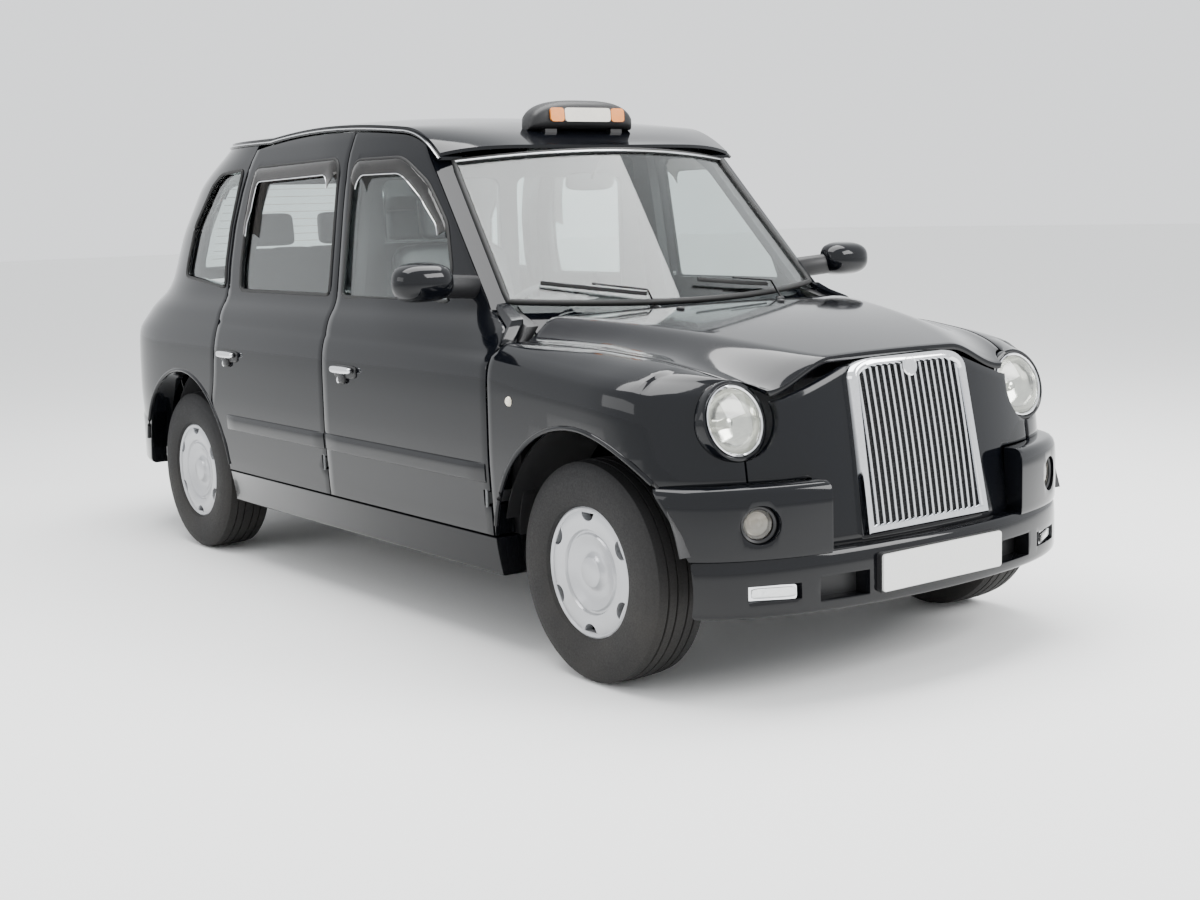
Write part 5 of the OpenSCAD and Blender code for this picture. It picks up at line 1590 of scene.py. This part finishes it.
outer = wallFrame(-18)
n = len(outer)
v = outer + wallFrame(18)
f = [list(range(n))[::-1], list(range(n, 2 * n))] + [[i, (i + 1) % n, (i + 1) % n + n,
        i + n] for i in range(n)]
partition = addMesh("partitionWall", v, f, "body", blackPlastic, stands=["partition"])
carve(partition, [cutter(*moveBox) for moveBox in
                  [prism([[y + p[0], 1320 + p[1]] for p in roundRect(265, 240, 40)], "x", -80,
                          80) for y in (-305, 305)]],
      edge=4)
for k, y in enumerate((-305, 305)):
    v, f = prism([[y + p[0], 1320 + p[1]] for p in roundRect(263, 238, 38)], "x", -2.5, 2.5)
    addMesh("partitionPane" + str(k + 1), v, f, "body", windowGlass)
    v, f = tube([[-16, y - 180, 1020], [-48, y - 150, 1020], [-48, y + 150, 1020],
            [-16, y + 180, 1020]], 9, sides=12)
    addMesh("partitionRail" + str(k + 1), v, f, "body", steel, angle=60)

ribs = []
for y in range(-560, 561, 40):
    ribs.append(box([-740, 210], [y - 3, y + 3], [346, 349.5]))
v, f = join(*ribs)
addMesh("floorMatRibs", v, f, "body", rubber)
print("cabin ready")

# ---- CAD nodes kept in view ----

kept = {
    "floor_pan": carpet, "scuttle": paint, "engine": castMetal, "fuel_tank": underseal, "exhaust": steel,
    "rear_axle": underseal, "front_subframe": underseal, "right_knuckle": castMetal,
            "left_knuckle": castMetal,
}
for name, material in kept.items():
    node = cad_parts[name]
    node.data.materials.clear()
    node.data.materials.append(material)
    smooth(node, 34)
print("kept parts ready")

# ---- Floor, light and camera ----

studio = {"floor": (0.90, 0.90, 0.89), "world": 1.5, "top": 760, "key": 460, "fill": 110}

floorMesh = bpy.data.meshes.new("studioFloor")
floorMesh.from_pydata([(-60, -60, 0), (60, -60, 0), (60, 60, 0), (-60, 60, 0)], [], [(0, 1, 2, 3)])
floor = bpy.data.objects.new("studioFloor", floorMesh)
bpy.context.collection.objects.link(floor)
floorFinish = bpy.data.materials.new("studioFloor")
floorFinish.use_nodes = True
floorFinish.node_tree.nodes["Principled BSDF"].inputs["Base Color"].default_value = (*studio["floor"], 1)
floorFinish.node_tree.nodes["Principled BSDF"].inputs["Roughness"].default_value = 0.9
floorFinish.node_tree.nodes["Principled BSDF"].inputs["Specular IOR Level"].default_value = 0.1
floorMesh.materials.append(floorFinish)
floor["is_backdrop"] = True

world = bpy.data.worlds.new("studio")
bpy.context.scene.world = world
world.use_nodes = True
world.node_tree.nodes["Background"].inputs["Color"].default_value = (0.96, 0.98, 1.0, 1)
world.node_tree.nodes["Background"].inputs["Strength"].default_value = studio["world"]


def softLight(name, at, aim, width, height, power):
    data = bpy.data.lights.new(name, "AREA")
    data.shape = "RECTANGLE"
    data.size = width
    data.size_y = height
    data.energy = power
    lightObject = bpy.data.objects.new(name, data)
    bpy.context.collection.objects.link(lightObject)
    lightObject.location = at
    aimAt = Matrix.Translation(at).to_translation() - Matrix.Translation(aim).to_translation()
    lightObject.rotation_mode = "QUATERNION"
    lightObject.rotation_quaternion = aimAt.to_track_quat("Z", "Y")
    lightObject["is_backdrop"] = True


softLight("topSoft", (0.4, 0.0, 6.0), (0.2, 0.0, 0.0), 7, 4, studio["top"])
softLight("keySoft", (6.5, 3.5, 4.5), (0.6, 0.0, 0.8), 4, 3, studio["key"])
softLight("fillSoft", (-1.0, -8.0, 3.2), (0.0, 0.0, 0.7), 6, 2.4, studio["fill"])

shot = {"at": (5.6170, -3.7492, 1.4366), "azimuth": 53.36, "elevation": 8.28, "roll": -1.64, "lens": 50.13}
az, el, ro = (math.radians(shot[k]) for k in ("azimuth", "elevation", "roll"))
backward = np.array([math.sin(az) * math.cos(el), -math.cos(az) * math.cos(el), math.sin(el)])
across = np.cross(-backward, [0, 0, 1])
across = across / np.linalg.norm(across)
upward = np.cross(across, -backward)
right = math.cos(ro) * across + math.sin(ro) * upward
above = -math.sin(ro) * across + math.cos(ro) * upward
cameraData = bpy.data.cameras.new("camera")
cameraData.lens = shot["lens"]
cameraData.sensor_width = 36
cameraData.clip_end = 200
camera = bpy.data.objects.new("camera", cameraData)
bpy.context.collection.objects.link(camera)
camera.matrix_world = Matrix([[*map(float,
        (right[k], above[k], backward[k], shot["at"][k]))] for k in range(3)]
                             + [[0, 0, 0, 1]])
bpy.context.scene.camera = camera
print("studio ready")

low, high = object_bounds()
